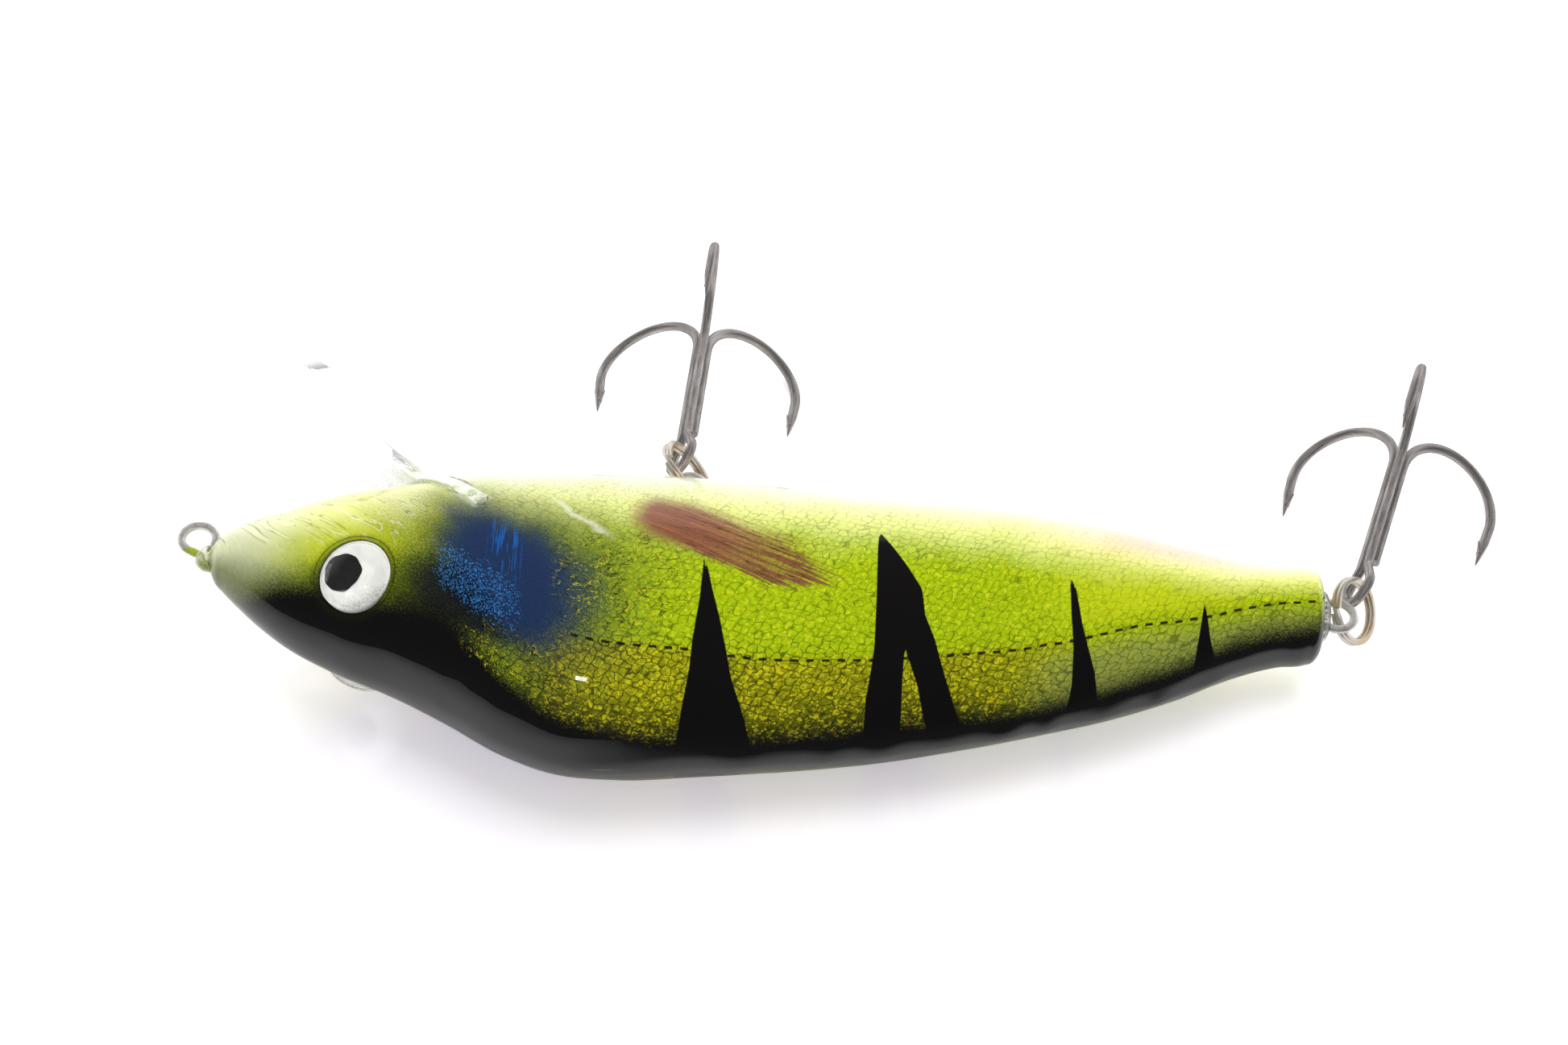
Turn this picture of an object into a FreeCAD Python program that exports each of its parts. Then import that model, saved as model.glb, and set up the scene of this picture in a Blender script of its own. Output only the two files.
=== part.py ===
"""Crankbait lure: two wooden body halves on a through-wire, a clear diving lip,
lead ballast, domed eyes, and two treble hooks on split rings.

Millimetres.  Everything is first drawn in the lure's own frame, then laid down:
  origin  centre of the line tie loop at the nose
  +X      from the nose to the tail
  +Y      towards the belly, so the back is at -Y
  +Z      out of the right flank, upwards, because the lure lies on its left flank
"""
import FreeCAD, Part

import math
import os

V = FreeCAD.Vector

# ---- overall sizes -------------------------------------------------------------
BODY_LENGTH = 143.2          # nose to tail face, without wires
BODY_HEIGHT = 44.6           # belly to back at the hump
BODY_THICKNESS = 28.0        # flank to flank
NOSE_X = 2.0                 # nose end behind the line tie
AXIS_Y = -3.3                # nose-to-tail axis, below the line tie
LYING_PITCH = 3.0            # degrees the tail drops when the lure lies on its flank

# body profile: distance from the nose / length, belly and back as parts of the
# height from the nose-to-tail axis, half thickness as a part of the thickness
PROFILE = [
    (0.0000, 0.030, -0.040, 0.050),
    (0.0040, 0.056, -0.070, 0.082),
    (0.0140, 0.086, -0.107, 0.126),
    (0.0340, 0.122, -0.170, 0.190),
    (0.0660, 0.158, -0.256, 0.268),
    (0.1200, 0.217, -0.347, 0.364),
    (0.1700, 0.251, -0.410, 0.421),
    (0.2200, 0.290, -0.495, 0.464),
    (0.2700, 0.314, -0.595, 0.490),
    (0.3170, 0.327, -0.655, 0.500),
    (0.3740, 0.338, -0.668, 0.500),
    (0.4400, 0.336, -0.645, 0.500),
    (0.5350, 0.314, -0.604, 0.482),
    (0.6200, 0.305, -0.558, 0.443),
    (0.6840, 0.302, -0.510, 0.404),
    (0.7530, 0.282, -0.446, 0.364),
    (0.8110, 0.247, -0.386, 0.329),
    (0.8700, 0.196, -0.306, 0.286),
    (0.9250, 0.154, -0.214, 0.243),
    (0.9650, 0.143, -0.166, 0.232),
    (0.9880, 0.137, -0.152, 0.225),
    (0.9970, 0.126, -0.139, 0.205),
    (1.0000, 0.112, -0.125, 0.182),
]

# ---- wires ---------------------------------------------------------------------
WIRE_D = 1.1                 # stainless through-wire and hanger
LOOP_R = 2.2                 # loop centreline radius, all three loops
LEG_GAP = WIRE_D + 0.4       # centre distance of the two legs of a loop
NECK_ANGLE = 55.0            # where the loop straightens into its neck, degrees
NECK_BEND = 0.7273 * WIRE_D
TIE_DIRECTION = -63.0        # line tie legs leave the loop in this direction
TIE_LEG = 5.2                # loop centre to the bend inside the nose
TIE_BEND = 2.0
SHORT_LEG = 16.0             # doubled-back wire at the nose
TAIL_LOOP_OUT = 5.3          # tail face to the outside of the tail loop
TAIL_RETURN = 14.0           # doubled-back wire at the tail
BELLY_X = 63.0               # belly hanger station
BELLY_LOOP_OUT = 3.85        # belly line to the outside of the belly loop
HANGER_LEG = 11.0
WIRE_PLAY = 0.10             # glue gap around every wire

# ---- diving lip ----------------------------------------------------------------
LIP_THICK = 2.1
LIP_ANGLE = 47.0             # lip above the body axis, degrees
LIP_ROOT = (36.9, -1.8)      # inner end of the lip, at the bottom of its slot
LIP_LENGTH = 42.7            # root to tip
LIP_ROOT_W = 22.4            # flush with the flanks at the root
LIP_WIDTH = 18.0             # widest part of the paddle
# half outline: distance from the root / length, half width / half paddle width
LIP_OUTLINE = [
    (0.16, 1.10), (0.27, 0.76), (0.38, 0.60), (0.52, 0.50),
    (0.63, 0.78), (0.76, 1.00), (0.91, 0.69),
]
SLOT_PLAY = 0.10

# ---- ballast and dowels --------------------------------------------------------
BALLAST_D = 7.0
BALLAST_HALF = 6.0           # half length across the body, plain cylinders
BALLAST_X = [50.0, 74.0, 90.0]
BALLAST_NAMES = ["ballast_front", "ballast_middle", "ballast_rear"]
BALLAST_Y = 2.2
BALLAST_PLAY = 0.10
DOWEL_D = 4.0
DOWEL_HALF = 5.0
DOWEL_AT = [(40.0, -20.0), (104.0, -13.0)]
DOWEL_NAMES = ["front_dowel", "rear_dowel"]
DOWEL_PLAY = 0.05
SEAM = 0.02                  # glue line between the two halves

# ---- eyes ----------------------------------------------------------------------
EYE_X = 21.6
EYE_Y = -12.4
EYE_LEAN = 17.0              # eye axis leans from the flank towards the back, degrees
EYE_D = 9.4
EYE_SEAT = 1.4               # socket depth below the flank
EYE_DISC_T = 1.0
EYE_PLAY = 0.10
PUPIL_D = 5.0
PUPIL_T = 0.3
PUPIL_SHIFT = (-1.5, 0.55)   # towards the nose and the belly
DOME_RISE = 1.9
DOME_GAP = 0.05

# ---- epoxy ---------------------------------------------------------------------
NOSE_BEAD_R = 1.9
TAIL_COLLAR_D = 7.0
TAIL_COLLAR_T = 1.6

# ---- split rings ---------------------------------------------------------------
RING_R = 4.05                # centreline radius
RING_STRAND_R = 0.9          # strand, radially
RING_STRAND_T = 0.6          # strand, along the ring's axis
RING_TURN_GAP = 0.06
RING_EDGE = 0.2

# ---- treble hooks --------------------------------------------------------------
HOOK_WIRE_D = 1.3
HOOK_EYE_R = HOOK_WIRE_D / 2 + 1.5    # eye centreline radius, a fixed bore
HOOK_OFFSET = HOOK_WIRE_D * 0.6154    # each shank off the treble's axis
SHANK_END = 25.2             # eye end to the start of the bend
BEND_R = 7.8
POINT_BACK = 7.2             # bend to the tip, along the shank
POINT_IN = 1.1               # tip leans in towards the shank
POINT_TAPER = 4.4
SINGLE_START = 7.8           # cut end of the brazed hook
EYE_NECK = 6.2
BARB_LENGTH = 2.2

# ---- rest poses: ring centre, ring axis, hook eye, shank direction -------------
# The belly places are given from the belly line at the hanger, the tail places from
# the middle of the tail face, so that both trebles follow the body's size.
BELLY_REST = {
    "ring_centre": (-0.48, 5.095, -0.96), "ring_axis": (0.737, 0.209, 0.643),
    "eye": (-1.16, 5.465, -1.23), "heading": 4.0, "droop": 6.99, "roll": 4.8,
}
TAIL_REST = {
    "ring_centre": (5.16, 2.26, -1.56), "ring_axis": (0.720, -0.349, 0.599),
    "eye": (5.44, 2.89, -0.72), "heading": 17.4, "droop": 0.0, "roll": 0.5,
}


# ---- small helpers -------------------------------------------------------------
def polar(radius, angle):
    a = math.radians(angle)
    return radius * math.cos(a), radius * math.sin(a)


def plane_point(base, along, across, s, t):
    return base + along * s + across * t


def filleted_path(corners):
    """Edges through the corners; each corner is (point, bend radius)."""
    edges = []
    last = corners[0][0]
    for (before, _), (here, radius), (after, _) in zip(corners, corners[1:], corners[2:]):
        into = (here - before).normalize()
        out = (after - here).normalize()
        turn = into.getAngle(out)
        cut = radius * math.tan(turn / 2)
        start = here - into * cut
        end = here + out * cut
        middle = here + (out - into).normalize() * (radius / math.cos(turn / 2) - radius)
        edges.append(Part.LineSegment(last, start).toShape())
        edges.append(Part.Arc(start, middle, end).toShape())
        last = end
    edges.append(Part.LineSegment(last, corners[-1][0]).toShape())
    return edges


def round_wire(corners, diameter):
    """A round wire swept along a filleted path."""
    edges = filleted_path(corners)
    start = corners[0][0]
    heading = corners[1][0] - start
    section = Part.Wire([Part.Circle(start, heading, diameter / 2).toShape()])
    return Part.Wire(edges).makePipeShell([section], True, True)


def fused(shapes):
    body = shapes[0]
    for shape in shapes[1:]:
        body = body.fuse(shape)
    return body


def cut_all(body, tools):
    for tool in tools:
        body = body.cut(tool)
    return body


def along_z(diameter, x, y, half_length):
    return Part.makeCylinder(diameter / 2, 2 * half_length, V(x, y, -half_length), V(0, 0, 1))


def lie_down(shape):
    laid = shape.copy()
    laid.rotate(V(0, 0, 0), V(0, 1, 0), LYING_PITCH)
    return laid


def from_lying(direction):
    """A direction given in the lying frame, in the lure's own frame."""
    return FreeCAD.Rotation(V(0, 1, 0), -LYING_PITCH).multVec(direction)


# ---- body ----------------------------------------------------------------------
def station(fraction):
    """Belly y, back y and half thickness at a fraction of the length."""
    rows = [row for row in PROFILE if row[0] <= fraction]
    low = rows[-1]
    high = PROFILE[min(len(rows), len(PROFILE) - 1)]
    span = high[0] - low[0]
    t = 0.0 if span == 0 else (fraction - low[0]) / span
    belly, back, half = [low[i] + (high[i] - low[i]) * t for i in (1, 2, 3)]
    return AXIS_Y + belly * BODY_HEIGHT, AXIS_Y + back * BODY_HEIGHT, half * BODY_THICKNESS


def section_loop(row, sides=16):
    """The oval section as one closed spline that always starts at the back."""
    fraction, belly, back, half = row
    x = NOSE_X + fraction * BODY_LENGTH
    centre_y = AXIS_Y + (belly + back) / 2 * BODY_HEIGHT
    half_y = (belly - back) / 2 * BODY_HEIGHT
    half_z = half * BODY_THICKNESS
    points = []
    for i in range(sides):
        c, s = polar(1.0, 360.0 * i / sides)
        points.append(V(x, centre_y - half_y * c, half_z * s))
    curve = Part.BSplineCurve()
    curve.interpolate(Points=points, PeriodicFlag=True)
    return Part.Wire([curve.toShape()])


def body_blank():
    return Part.makeLoft([section_loop(row) for row in PROFILE], True, False)


def belly_y(x):
    return station((x - NOSE_X) / BODY_LENGTH)[0]


def tail_x():
    return NOSE_X + BODY_LENGTH


# ---- wires ---------------------------------------------------------------------
def loop_corners(centre, inward):
    """Corners of an open loop whose two legs leave in the inward direction."""
    across = V(-inward.y, inward.x, 0)
    step = (360.0 - 2 * NECK_ANGLE) / 3
    reach = LOOP_R / math.cos(math.radians(step / 2))
    s, t = polar(LOOP_R, NECK_ANGLE)
    run = (t - LEG_GAP / 2) / math.cos(math.radians(NECK_ANGLE))
    neck = s + run * math.sin(math.radians(NECK_ANGLE))
    corners = [(plane_point(centre, inward, across, neck, LEG_GAP / 2), NECK_BEND)]
    for i in range(3):
        c, d = polar(reach, NECK_ANGLE + step * (i + 0.5))
        corners.append((plane_point(centre, inward, across, c, d), LOOP_R * 0.985))
    corners.append((plane_point(centre, inward, across, neck, -LEG_GAP / 2), NECK_BEND))
    return corners


def tail_loop_centre():
    return V(tail_x() + TAIL_LOOP_OUT - WIRE_D / 2 - LOOP_R, AXIS_Y, 0)


def belly_loop_centre():
    return V(BELLY_X, belly_y(BELLY_X) + BELLY_LOOP_OUT - WIRE_D / 2 - LOOP_R, 0)


def through_wire_corners():
    """Nose short leg, line tie loop, straight run, tail loop, tail return leg."""
    half = LEG_GAP / 2
    inward = V(*polar(1.0, TIE_DIRECTION), 0)
    across = V(-inward.y, inward.x, 0)
    tail = tail_loop_centre()
    bend = inward * TIE_LEG
    turn = math.tan(math.radians(-TIE_DIRECTION / 2))
    upper = bend + across * half - inward * (half * turn)
    lower = bend - across * half + inward * (half * turn)
    straight = V(1, (tail.y + half - upper.y) / (tail.x - upper.x), 0).normalize()
    path = [(lower + straight * SHORT_LEG, 0), (lower, TIE_BEND + LEG_GAP)]
    path += list(reversed(loop_corners(V(0, 0, 0), inward)))
    path += [(upper, TIE_BEND)]
    far = loop_corners(tail, V(-1, 0, 0))
    path += list(reversed(far))
    path += [(V(tail.x - TAIL_RETURN, tail.y - half, 0), 0)]
    return path


def belly_hanger_corners():
    centre = belly_loop_centre()
    loop = loop_corners(centre, V(0, -1, 0))
    first = V(loop[0][0].x, loop[0][0].y - HANGER_LEG, 0)
    last = V(loop[-1][0].x, loop[-1][0].y - HANGER_LEG, 0)
    return [(first, 0)] + loop + [(last, 0)]


def make_through_wire(diameter):
    return round_wire(through_wire_corners(), diameter)


def make_belly_hanger(diameter):
    return round_wire(belly_hanger_corners(), diameter)


# ---- diving lip ----------------------------------------------------------------
def lip_axes():
    """Root point, direction out along the lip, direction across its thickness."""
    out = V(*polar(1.0, 180.0 - LIP_ANGLE), 0)
    normal = V(out.y, -out.x, 0)
    return V(*LIP_ROOT, 0), out, normal


def lip_side(base, out, sign):
    """One curved side of the plate, from its root corner to the tip."""
    side = V(0, 0, sign)
    points = [base + side * (LIP_ROOT_W / 2)]
    for s, w in LIP_OUTLINE:
        points.append(base + out * (s * LIP_LENGTH) + side * (w * LIP_WIDTH / 2))
    points.append(base + out * LIP_LENGTH)
    curve = Part.BSplineCurve()
    curve.interpolate(Points=points, InitialTangent=out, FinalTangent=side * -1)
    return curve.toShape()


def make_lip():
    root, out, normal = lip_axes()
    base = root - normal * (LIP_THICK / 2)
    half = V(0, 0, LIP_ROOT_W / 2)
    end = Part.LineSegment(base - half, base + half).toShape()
    outline = Part.Wire([end, lip_side(base, out, 1), lip_side(base, out, -1)])
    return Part.Face(outline).extrude(normal * LIP_THICK)


def lip_slot_tool():
    """A wide slot right across the throat that the lip slides into."""
    root, out, normal = lip_axes()
    thick = LIP_THICK + 2 * SLOT_PLAY
    base = root - out * SLOT_PLAY - normal * (thick / 2) - V(0, 0, BODY_THICKNESS)
    long_edge = out * (LIP_LENGTH + 2)
    corners = [base, base + long_edge, base + long_edge + normal * thick, base + normal * thick]
    return Part.Face(Part.makePolygon(corners + [base])).extrude(V(0, 0, 2 * BODY_THICKNESS))


# ---- ballast, dowels -----------------------------------------------------------
def make_slug(index, play=0.0):
    return along_z(BALLAST_D + 2 * play, BALLAST_X[index], BALLAST_Y, BALLAST_HALF + play)


def make_dowel(index, play=0.0):
    x, y = DOWEL_AT[index]
    return along_z(DOWEL_D + 2 * play, x, y, DOWEL_HALF + play)


# ---- eyes ----------------------------------------------------------------------
def flank_z(x, y):
    """Height of the right flank above the middle plane."""
    belly, back, half = station((x - NOSE_X) / BODY_LENGTH)
    off = (2 * y - belly - back) / (belly - back)
    return half * math.sqrt(1 - off * off)


def eye_axis(side):
    """Outward axis of the eye, square to the tapering head and leaning back."""
    ahead = flank_z(EYE_X - EYE_D / 2, EYE_Y)
    behind = flank_z(EYE_X + EYE_D / 2, EYE_Y)
    lean = math.tan(math.radians(EYE_LEAN))
    return V(-(behind - ahead) / EYE_D, -lean, side).normalize()


def eye_base(side):
    return V(EYE_X, EYE_Y, side * flank_z(EYE_X, EYE_Y)) - eye_axis(side) * EYE_SEAT


def eye_stack(side, start, thick, diameter, shift=(0.0, 0.0)):
    axis = eye_axis(side)
    along = V(0, 1, 0).cross(axis).normalize()
    if along.x < 0:
        along = along * -1
    rise = axis.cross(along) * side
    if rise.y < 0:
        rise = rise * -1
    centre = eye_base(side) + axis * start + along * shift[0] + rise * shift[1]
    return Part.makeCylinder(diameter / 2, thick, centre, axis)


def make_eye_disc(side):
    return eye_stack(side, 0, EYE_DISC_T, EYE_D)


def make_pupil(side):
    return eye_stack(side, EYE_DISC_T, PUPIL_T, PUPIL_D, PUPIL_SHIFT)


def make_dome(side):
    """Clear cap: a spherical segment with the pupil's recess in its flat face."""
    axis = eye_axis(side)
    half = EYE_D / 2
    radius = (half * half + DOME_RISE * DOME_RISE) / (2 * DOME_RISE)
    foot = eye_base(side) + axis * EYE_DISC_T
    ball = Part.makeSphere(radius, foot + axis * (DOME_RISE - radius))
    drum = Part.makeCylinder(half, 2 * radius, foot, axis)
    recess = eye_stack(side, EYE_DISC_T, PUPIL_T + DOME_GAP, PUPIL_D + 2 * DOME_GAP, PUPIL_SHIFT)
    return ball.common(drum).cut(recess)


def eye_socket(side):
    return eye_stack(side, -EYE_PLAY, EYE_SEAT + 4.0, EYE_D + 2 * EYE_PLAY)


# ---- epoxy beads ---------------------------------------------------------------
def make_nose_bead(blank, wire_room):
    """Clear drop where the two legs of the line tie enter the nose."""
    inward = V(*polar(1.0, TIE_DIRECTION), 0)
    drop = Part.makeSphere(NOSE_BEAD_R, inward * (TIE_LEG - NOSE_BEAD_R * 0.75), inward)
    return solid_of(drop.cut(blank).cut(wire_room))


def make_tail_collar(wire_room):
    """Domed disc of epoxy sealing the wire where it leaves the tail face."""
    face = V(tail_x() + SEAM, AXIS_Y - 0.2, 0)
    disc = Part.makeCylinder(TAIL_COLLAR_D / 2, TAIL_COLLAR_T, face, V(1, 0, 0))
    rim = [e for e in disc.Edges if abs(e.CenterOfMass.x - face.x - TAIL_COLLAR_T) < 1e-6]
    return disc.makeFillet(TAIL_COLLAR_T * 0.6, rim).cut(wire_room)


def solid_of(shape):
    """The largest solid of a boolean's result."""
    return max(shape.Solids, key=lambda s: s.Volume)


# ---- body halves ---------------------------------------------------------------
def body_cuts():
    room = WIRE_D + 2 * WIRE_PLAY
    tools = [make_through_wire(room), make_belly_hanger(room), lip_slot_tool()]
    tools += [make_slug(i, BALLAST_PLAY) for i in range(len(BALLAST_X))]
    tools += [make_dowel(i, DOWEL_PLAY) for i in range(len(DOWEL_AT))]
    tools += [eye_socket(side) for side in (1, -1)]
    return tools


def half_space(side):
    far = 4 * BODY_LENGTH
    low = SEAM / 2 if side > 0 else -far / 2
    high = far / 2 if side > 0 else -SEAM / 2
    return Part.makeBox(far, far, high - low, V(-far / 2, -far / 2, low))


def make_body_half(blank, side):
    half = blank.common(half_space(side))
    return solid_of(cut_all(half, body_cuts()))


# ---- rest places ---------------------------------------------------------------
def placed(rest, datum):
    """A rest pose with its ring centre and hook eye moved to the datum."""
    return {**rest, "ring_centre": datum + V(*rest["ring_centre"]), "eye": datum + V(*rest["eye"])}


def rest_places():
    belly = placed(BELLY_REST, V(BELLY_X, belly_y(BELLY_X), 0))
    tail = placed(TAIL_REST, V(tail_x(), AXIS_Y, 0))
    return (("belly", belly), ("tail", tail))


# ---- split rings ---------------------------------------------------------------
def ring_turn(level):
    """One flat turn of the spring wire, its edges rounded."""
    inner = Part.makeCylinder(RING_R - RING_STRAND_R / 2, RING_STRAND_T, V(0, 0, level))
    outer = Part.makeCylinder(RING_R + RING_STRAND_R / 2, RING_STRAND_T, V(0, 0, level))
    turn = outer.cut(inner)
    rims = [e for e in turn.Edges if isinstance(e.Curve, Part.Circle)]
    return turn.makeFillet(RING_EDGE, rims)


def make_split_ring(rest):
    """Two turns side by side, joined where the wire steps across."""
    lower = ring_turn(-RING_STRAND_T - RING_TURN_GAP / 2)
    upper = ring_turn(RING_TURN_GAP / 2)
    step = Part.makeBox(1.6, RING_STRAND_R - 2 * RING_EDGE, 2 * RING_STRAND_T)
    step.translate(V(-0.8, RING_R - RING_STRAND_R / 2 + RING_EDGE, -RING_STRAND_T))
    ring = fused([lower, upper, step])
    ring.Placement = FreeCAD.Placement(
        rest["ring_centre"], FreeCAD.Rotation(V(0, 0, 1), V(*rest["ring_axis"])))
    return ring


# ---- treble hooks --------------------------------------------------------------
def hook_frame(rest):
    """Shank direction and the radial direction of each of the three hooks."""
    h = math.radians(rest["heading"])
    d = math.radians(rest["droop"])
    lying = V(math.sin(h) * math.cos(d), math.cos(h) * math.cos(d), -math.sin(d))
    shank = from_lying(lying).normalize()
    up = from_lying(V(0, 0, 1))
    up = (up - shank * up.dot(shank)).normalize()
    right = shank.cross(up)

    def radial(angle):
        c, s = polar(1.0, angle)
        return up * c + right * s

    roll = rest["roll"]
    return shank, {"top": radial(roll), "fore": radial(roll - 120), "aft": radial(roll + 120)}


def hook_corners(eye, shank, radial, start):
    """Centreline of one hook, from its start on the shank to where it tapers."""
    top = SHANK_END + BEND_R
    outer = HOOK_OFFSET + 2 * BEND_R
    near_tip = (POINT_BACK - POINT_TAPER) / POINT_BACK
    bend = BEND_R * 0.96

    def at(s, r):
        return eye + shank * s + radial * r

    tail = at(SHANK_END - POINT_BACK * near_tip, outer - POINT_IN * near_tip)
    return [(at(start, HOOK_OFFSET), 0), (at(top, HOOK_OFFSET), bend),
            (at(top, outer), bend), (tail, 0)]


def hook_point(corners):
    """Tapered needle point with a cut-up barb on its inner side."""
    tail = corners[-1][0]
    run = (tail - corners[-2][0]).normalize()
    wire_r = HOOK_WIRE_D / 2
    needle = Part.makeCone(wire_r, 0.05, POINT_TAPER, tail, run)
    inward = (corners[0][0] - corners[-2][0])
    inward = (inward - run * inward.dot(run)).normalize()
    lift = (run * -0.92 + inward * 0.40).normalize()
    root = tail + run * (POINT_TAPER * 0.42)
    barb = Part.makeCone(0.34, 0.06, BARB_LENGTH, root, lift)
    return [needle, barb]


def make_hook(eye, shank, radial, start):
    corners = hook_corners(eye, shank, radial, start)
    return fused([round_wire(corners, HOOK_WIRE_D)] + hook_point(corners))


def make_hook_eye(eye, shank, frame):
    """Round eye of the double hook, square to the brazed hook."""
    back = frame["aft"] * (-HOOK_OFFSET / 2)
    across = (frame["fore"] - frame["top"]).normalize()
    spread = HOOK_OFFSET * math.sin(math.radians(60))
    centre = eye + back + shank * HOOK_EYE_R
    step = (360.0 - 2 * 50.0) / 3
    reach = HOOK_EYE_R / math.cos(math.radians(step / 2))
    corners = []
    for sign in (1, -1):
        corners.append(eye + back + shank * (EYE_NECK + 1.5) + across * (sign * spread))
    path = [(corners[0], 0), (eye + back + shank * EYE_NECK + across * spread, 2.4)]
    for i in range(3):
        c, s = polar(reach, 50.0 + step * (i + 0.5))
        path.append((centre + shank * c + across * s, HOOK_EYE_R * 0.985))
    path += [(eye + back + shank * EYE_NECK - across * spread, 2.4), (corners[1], 0)]
    return round_wire(path, HOOK_WIRE_D)


def make_double_hook(rest):
    eye = rest["eye"]
    shank, frame = hook_frame(rest)
    start = EYE_NECK + 1.0
    pieces = [make_hook_eye(eye, shank, frame)]
    pieces += [make_hook(eye, shank, frame[name], start) for name in ("top", "fore")]
    return fused(pieces)


def make_single_hook(rest):
    shank, frame = hook_frame(rest)
    return make_hook(rest["eye"], shank, frame["aft"], SINGLE_START)


# ---- build ---------------------------------------------------------------------
def build():
    blank = body_blank()
    wire_room = make_through_wire(WIRE_D + 2 * WIRE_PLAY)
    nodes = {
        "body_right_half": make_body_half(blank, 1),
        "body_left_half": make_body_half(blank, -1),
        "diving_lip": make_lip(),
        "through_wire": make_through_wire(WIRE_D),
        "belly_hanger": make_belly_hanger(WIRE_D),
        "nose_bead": make_nose_bead(blank, wire_room),
        "tail_collar": make_tail_collar(wire_room),
    }
    for i, name in enumerate(BALLAST_NAMES):
        nodes[name] = make_slug(i)
    for i, name in enumerate(DOWEL_NAMES):
        nodes[name] = make_dowel(i)
    for word, side in (("right", 1), ("left", -1)):
        nodes[word + "_eye_disc"] = make_eye_disc(side)
        nodes[word + "_eye_pupil"] = make_pupil(side)
        nodes[word + "_eye_dome"] = make_dome(side)
    for word, rest in rest_places():
        nodes[word + "_split_ring"] = make_split_ring(rest)
        nodes[word + "_double_hook"] = make_double_hook(rest)
        nodes[word + "_single_hook"] = make_single_hook(rest)
    return nodes


def main():
    os.makedirs("parts", exist_ok=True)
    for name, shape in build().items():
        lie_down(shape).exportStep("parts/" + name + ".step")


main()
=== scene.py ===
import math

import bmesh
import bpy
import numpy as np
from mathutils import Matrix, Vector, noise


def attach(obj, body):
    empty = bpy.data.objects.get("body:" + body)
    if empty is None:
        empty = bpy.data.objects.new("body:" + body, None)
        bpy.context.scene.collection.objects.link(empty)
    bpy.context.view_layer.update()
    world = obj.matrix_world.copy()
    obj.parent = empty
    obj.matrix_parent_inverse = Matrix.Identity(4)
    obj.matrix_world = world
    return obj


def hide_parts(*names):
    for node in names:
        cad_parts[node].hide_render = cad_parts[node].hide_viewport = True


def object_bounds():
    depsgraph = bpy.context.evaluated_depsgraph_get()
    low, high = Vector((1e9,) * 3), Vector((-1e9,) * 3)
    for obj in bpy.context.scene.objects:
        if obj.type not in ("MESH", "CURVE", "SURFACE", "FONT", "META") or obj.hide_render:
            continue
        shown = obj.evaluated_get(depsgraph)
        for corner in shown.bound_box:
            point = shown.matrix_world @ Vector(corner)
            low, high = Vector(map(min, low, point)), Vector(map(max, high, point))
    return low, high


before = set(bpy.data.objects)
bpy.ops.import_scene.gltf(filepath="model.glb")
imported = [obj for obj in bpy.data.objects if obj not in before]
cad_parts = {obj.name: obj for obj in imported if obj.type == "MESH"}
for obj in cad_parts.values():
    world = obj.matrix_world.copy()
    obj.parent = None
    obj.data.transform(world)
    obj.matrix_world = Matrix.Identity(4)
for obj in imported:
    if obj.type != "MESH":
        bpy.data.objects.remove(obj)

CAD_LOW, CAD_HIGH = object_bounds()

bl_info = {
    "name": "Crankbait lure",
    "version": (1, 0, 0),
    "blender": (4, 5, 0),
    "location": "View3D > Sidebar > Lure",
    "description": "Builds a painted wooden crankbait with a clear lip and two treble hooks",
    "category": "Object",
}

# Lengths are millimetres in the lure's own frame: the origin is the line tie, +X runs to the
# tail, +Y to the belly and +Z out of the right flank. lay_down turns them into the scene's.
MM = 0.001
LYING_PITCH = math.radians(3.0)

# ---- body ----
BODY_LENGTH, BODY_HEIGHT, BODY_THICKNESS = 143.2, 44.6, 28.0
NOSE_X, AXIS_Y = 2.0, -3.3
# distance from the nose, belly, back, half thickness, as parts of the sizes above
PROFILE = np.array([
    (0.0000, 0.030, -0.040, 0.050), (0.0040, 0.056, -0.070, 0.082), (0.0140, 0.086, -0.107, 0.126),
    (0.0340, 0.122, -0.170, 0.190), (0.0660, 0.158, -0.256, 0.268), (0.1200, 0.217, -0.347, 0.364),
    (0.1700, 0.251, -0.410, 0.421), (0.2200, 0.290, -0.495, 0.464), (0.2700, 0.314, -0.595, 0.490),
    (0.3170, 0.327, -0.655, 0.500), (0.3740, 0.338, -0.668, 0.500), (0.4400, 0.336, -0.645, 0.500),
    (0.5350, 0.314, -0.604, 0.482), (0.6200, 0.305, -0.558, 0.443), (0.6840, 0.302, -0.510, 0.404),
    (0.7530, 0.282, -0.446, 0.364), (0.8110, 0.247, -0.386, 0.329), (0.8700, 0.196, -0.306, 0.286),
    (0.9250, 0.154, -0.214, 0.243), (0.9650, 0.143, -0.166, 0.232), (0.9880, 0.137, -0.152, 0.225),
    (0.9970, 0.126, -0.139, 0.205), (1.0000, 0.112, -0.125, 0.182),
])
ALONG, AROUND = 350, 210

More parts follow.
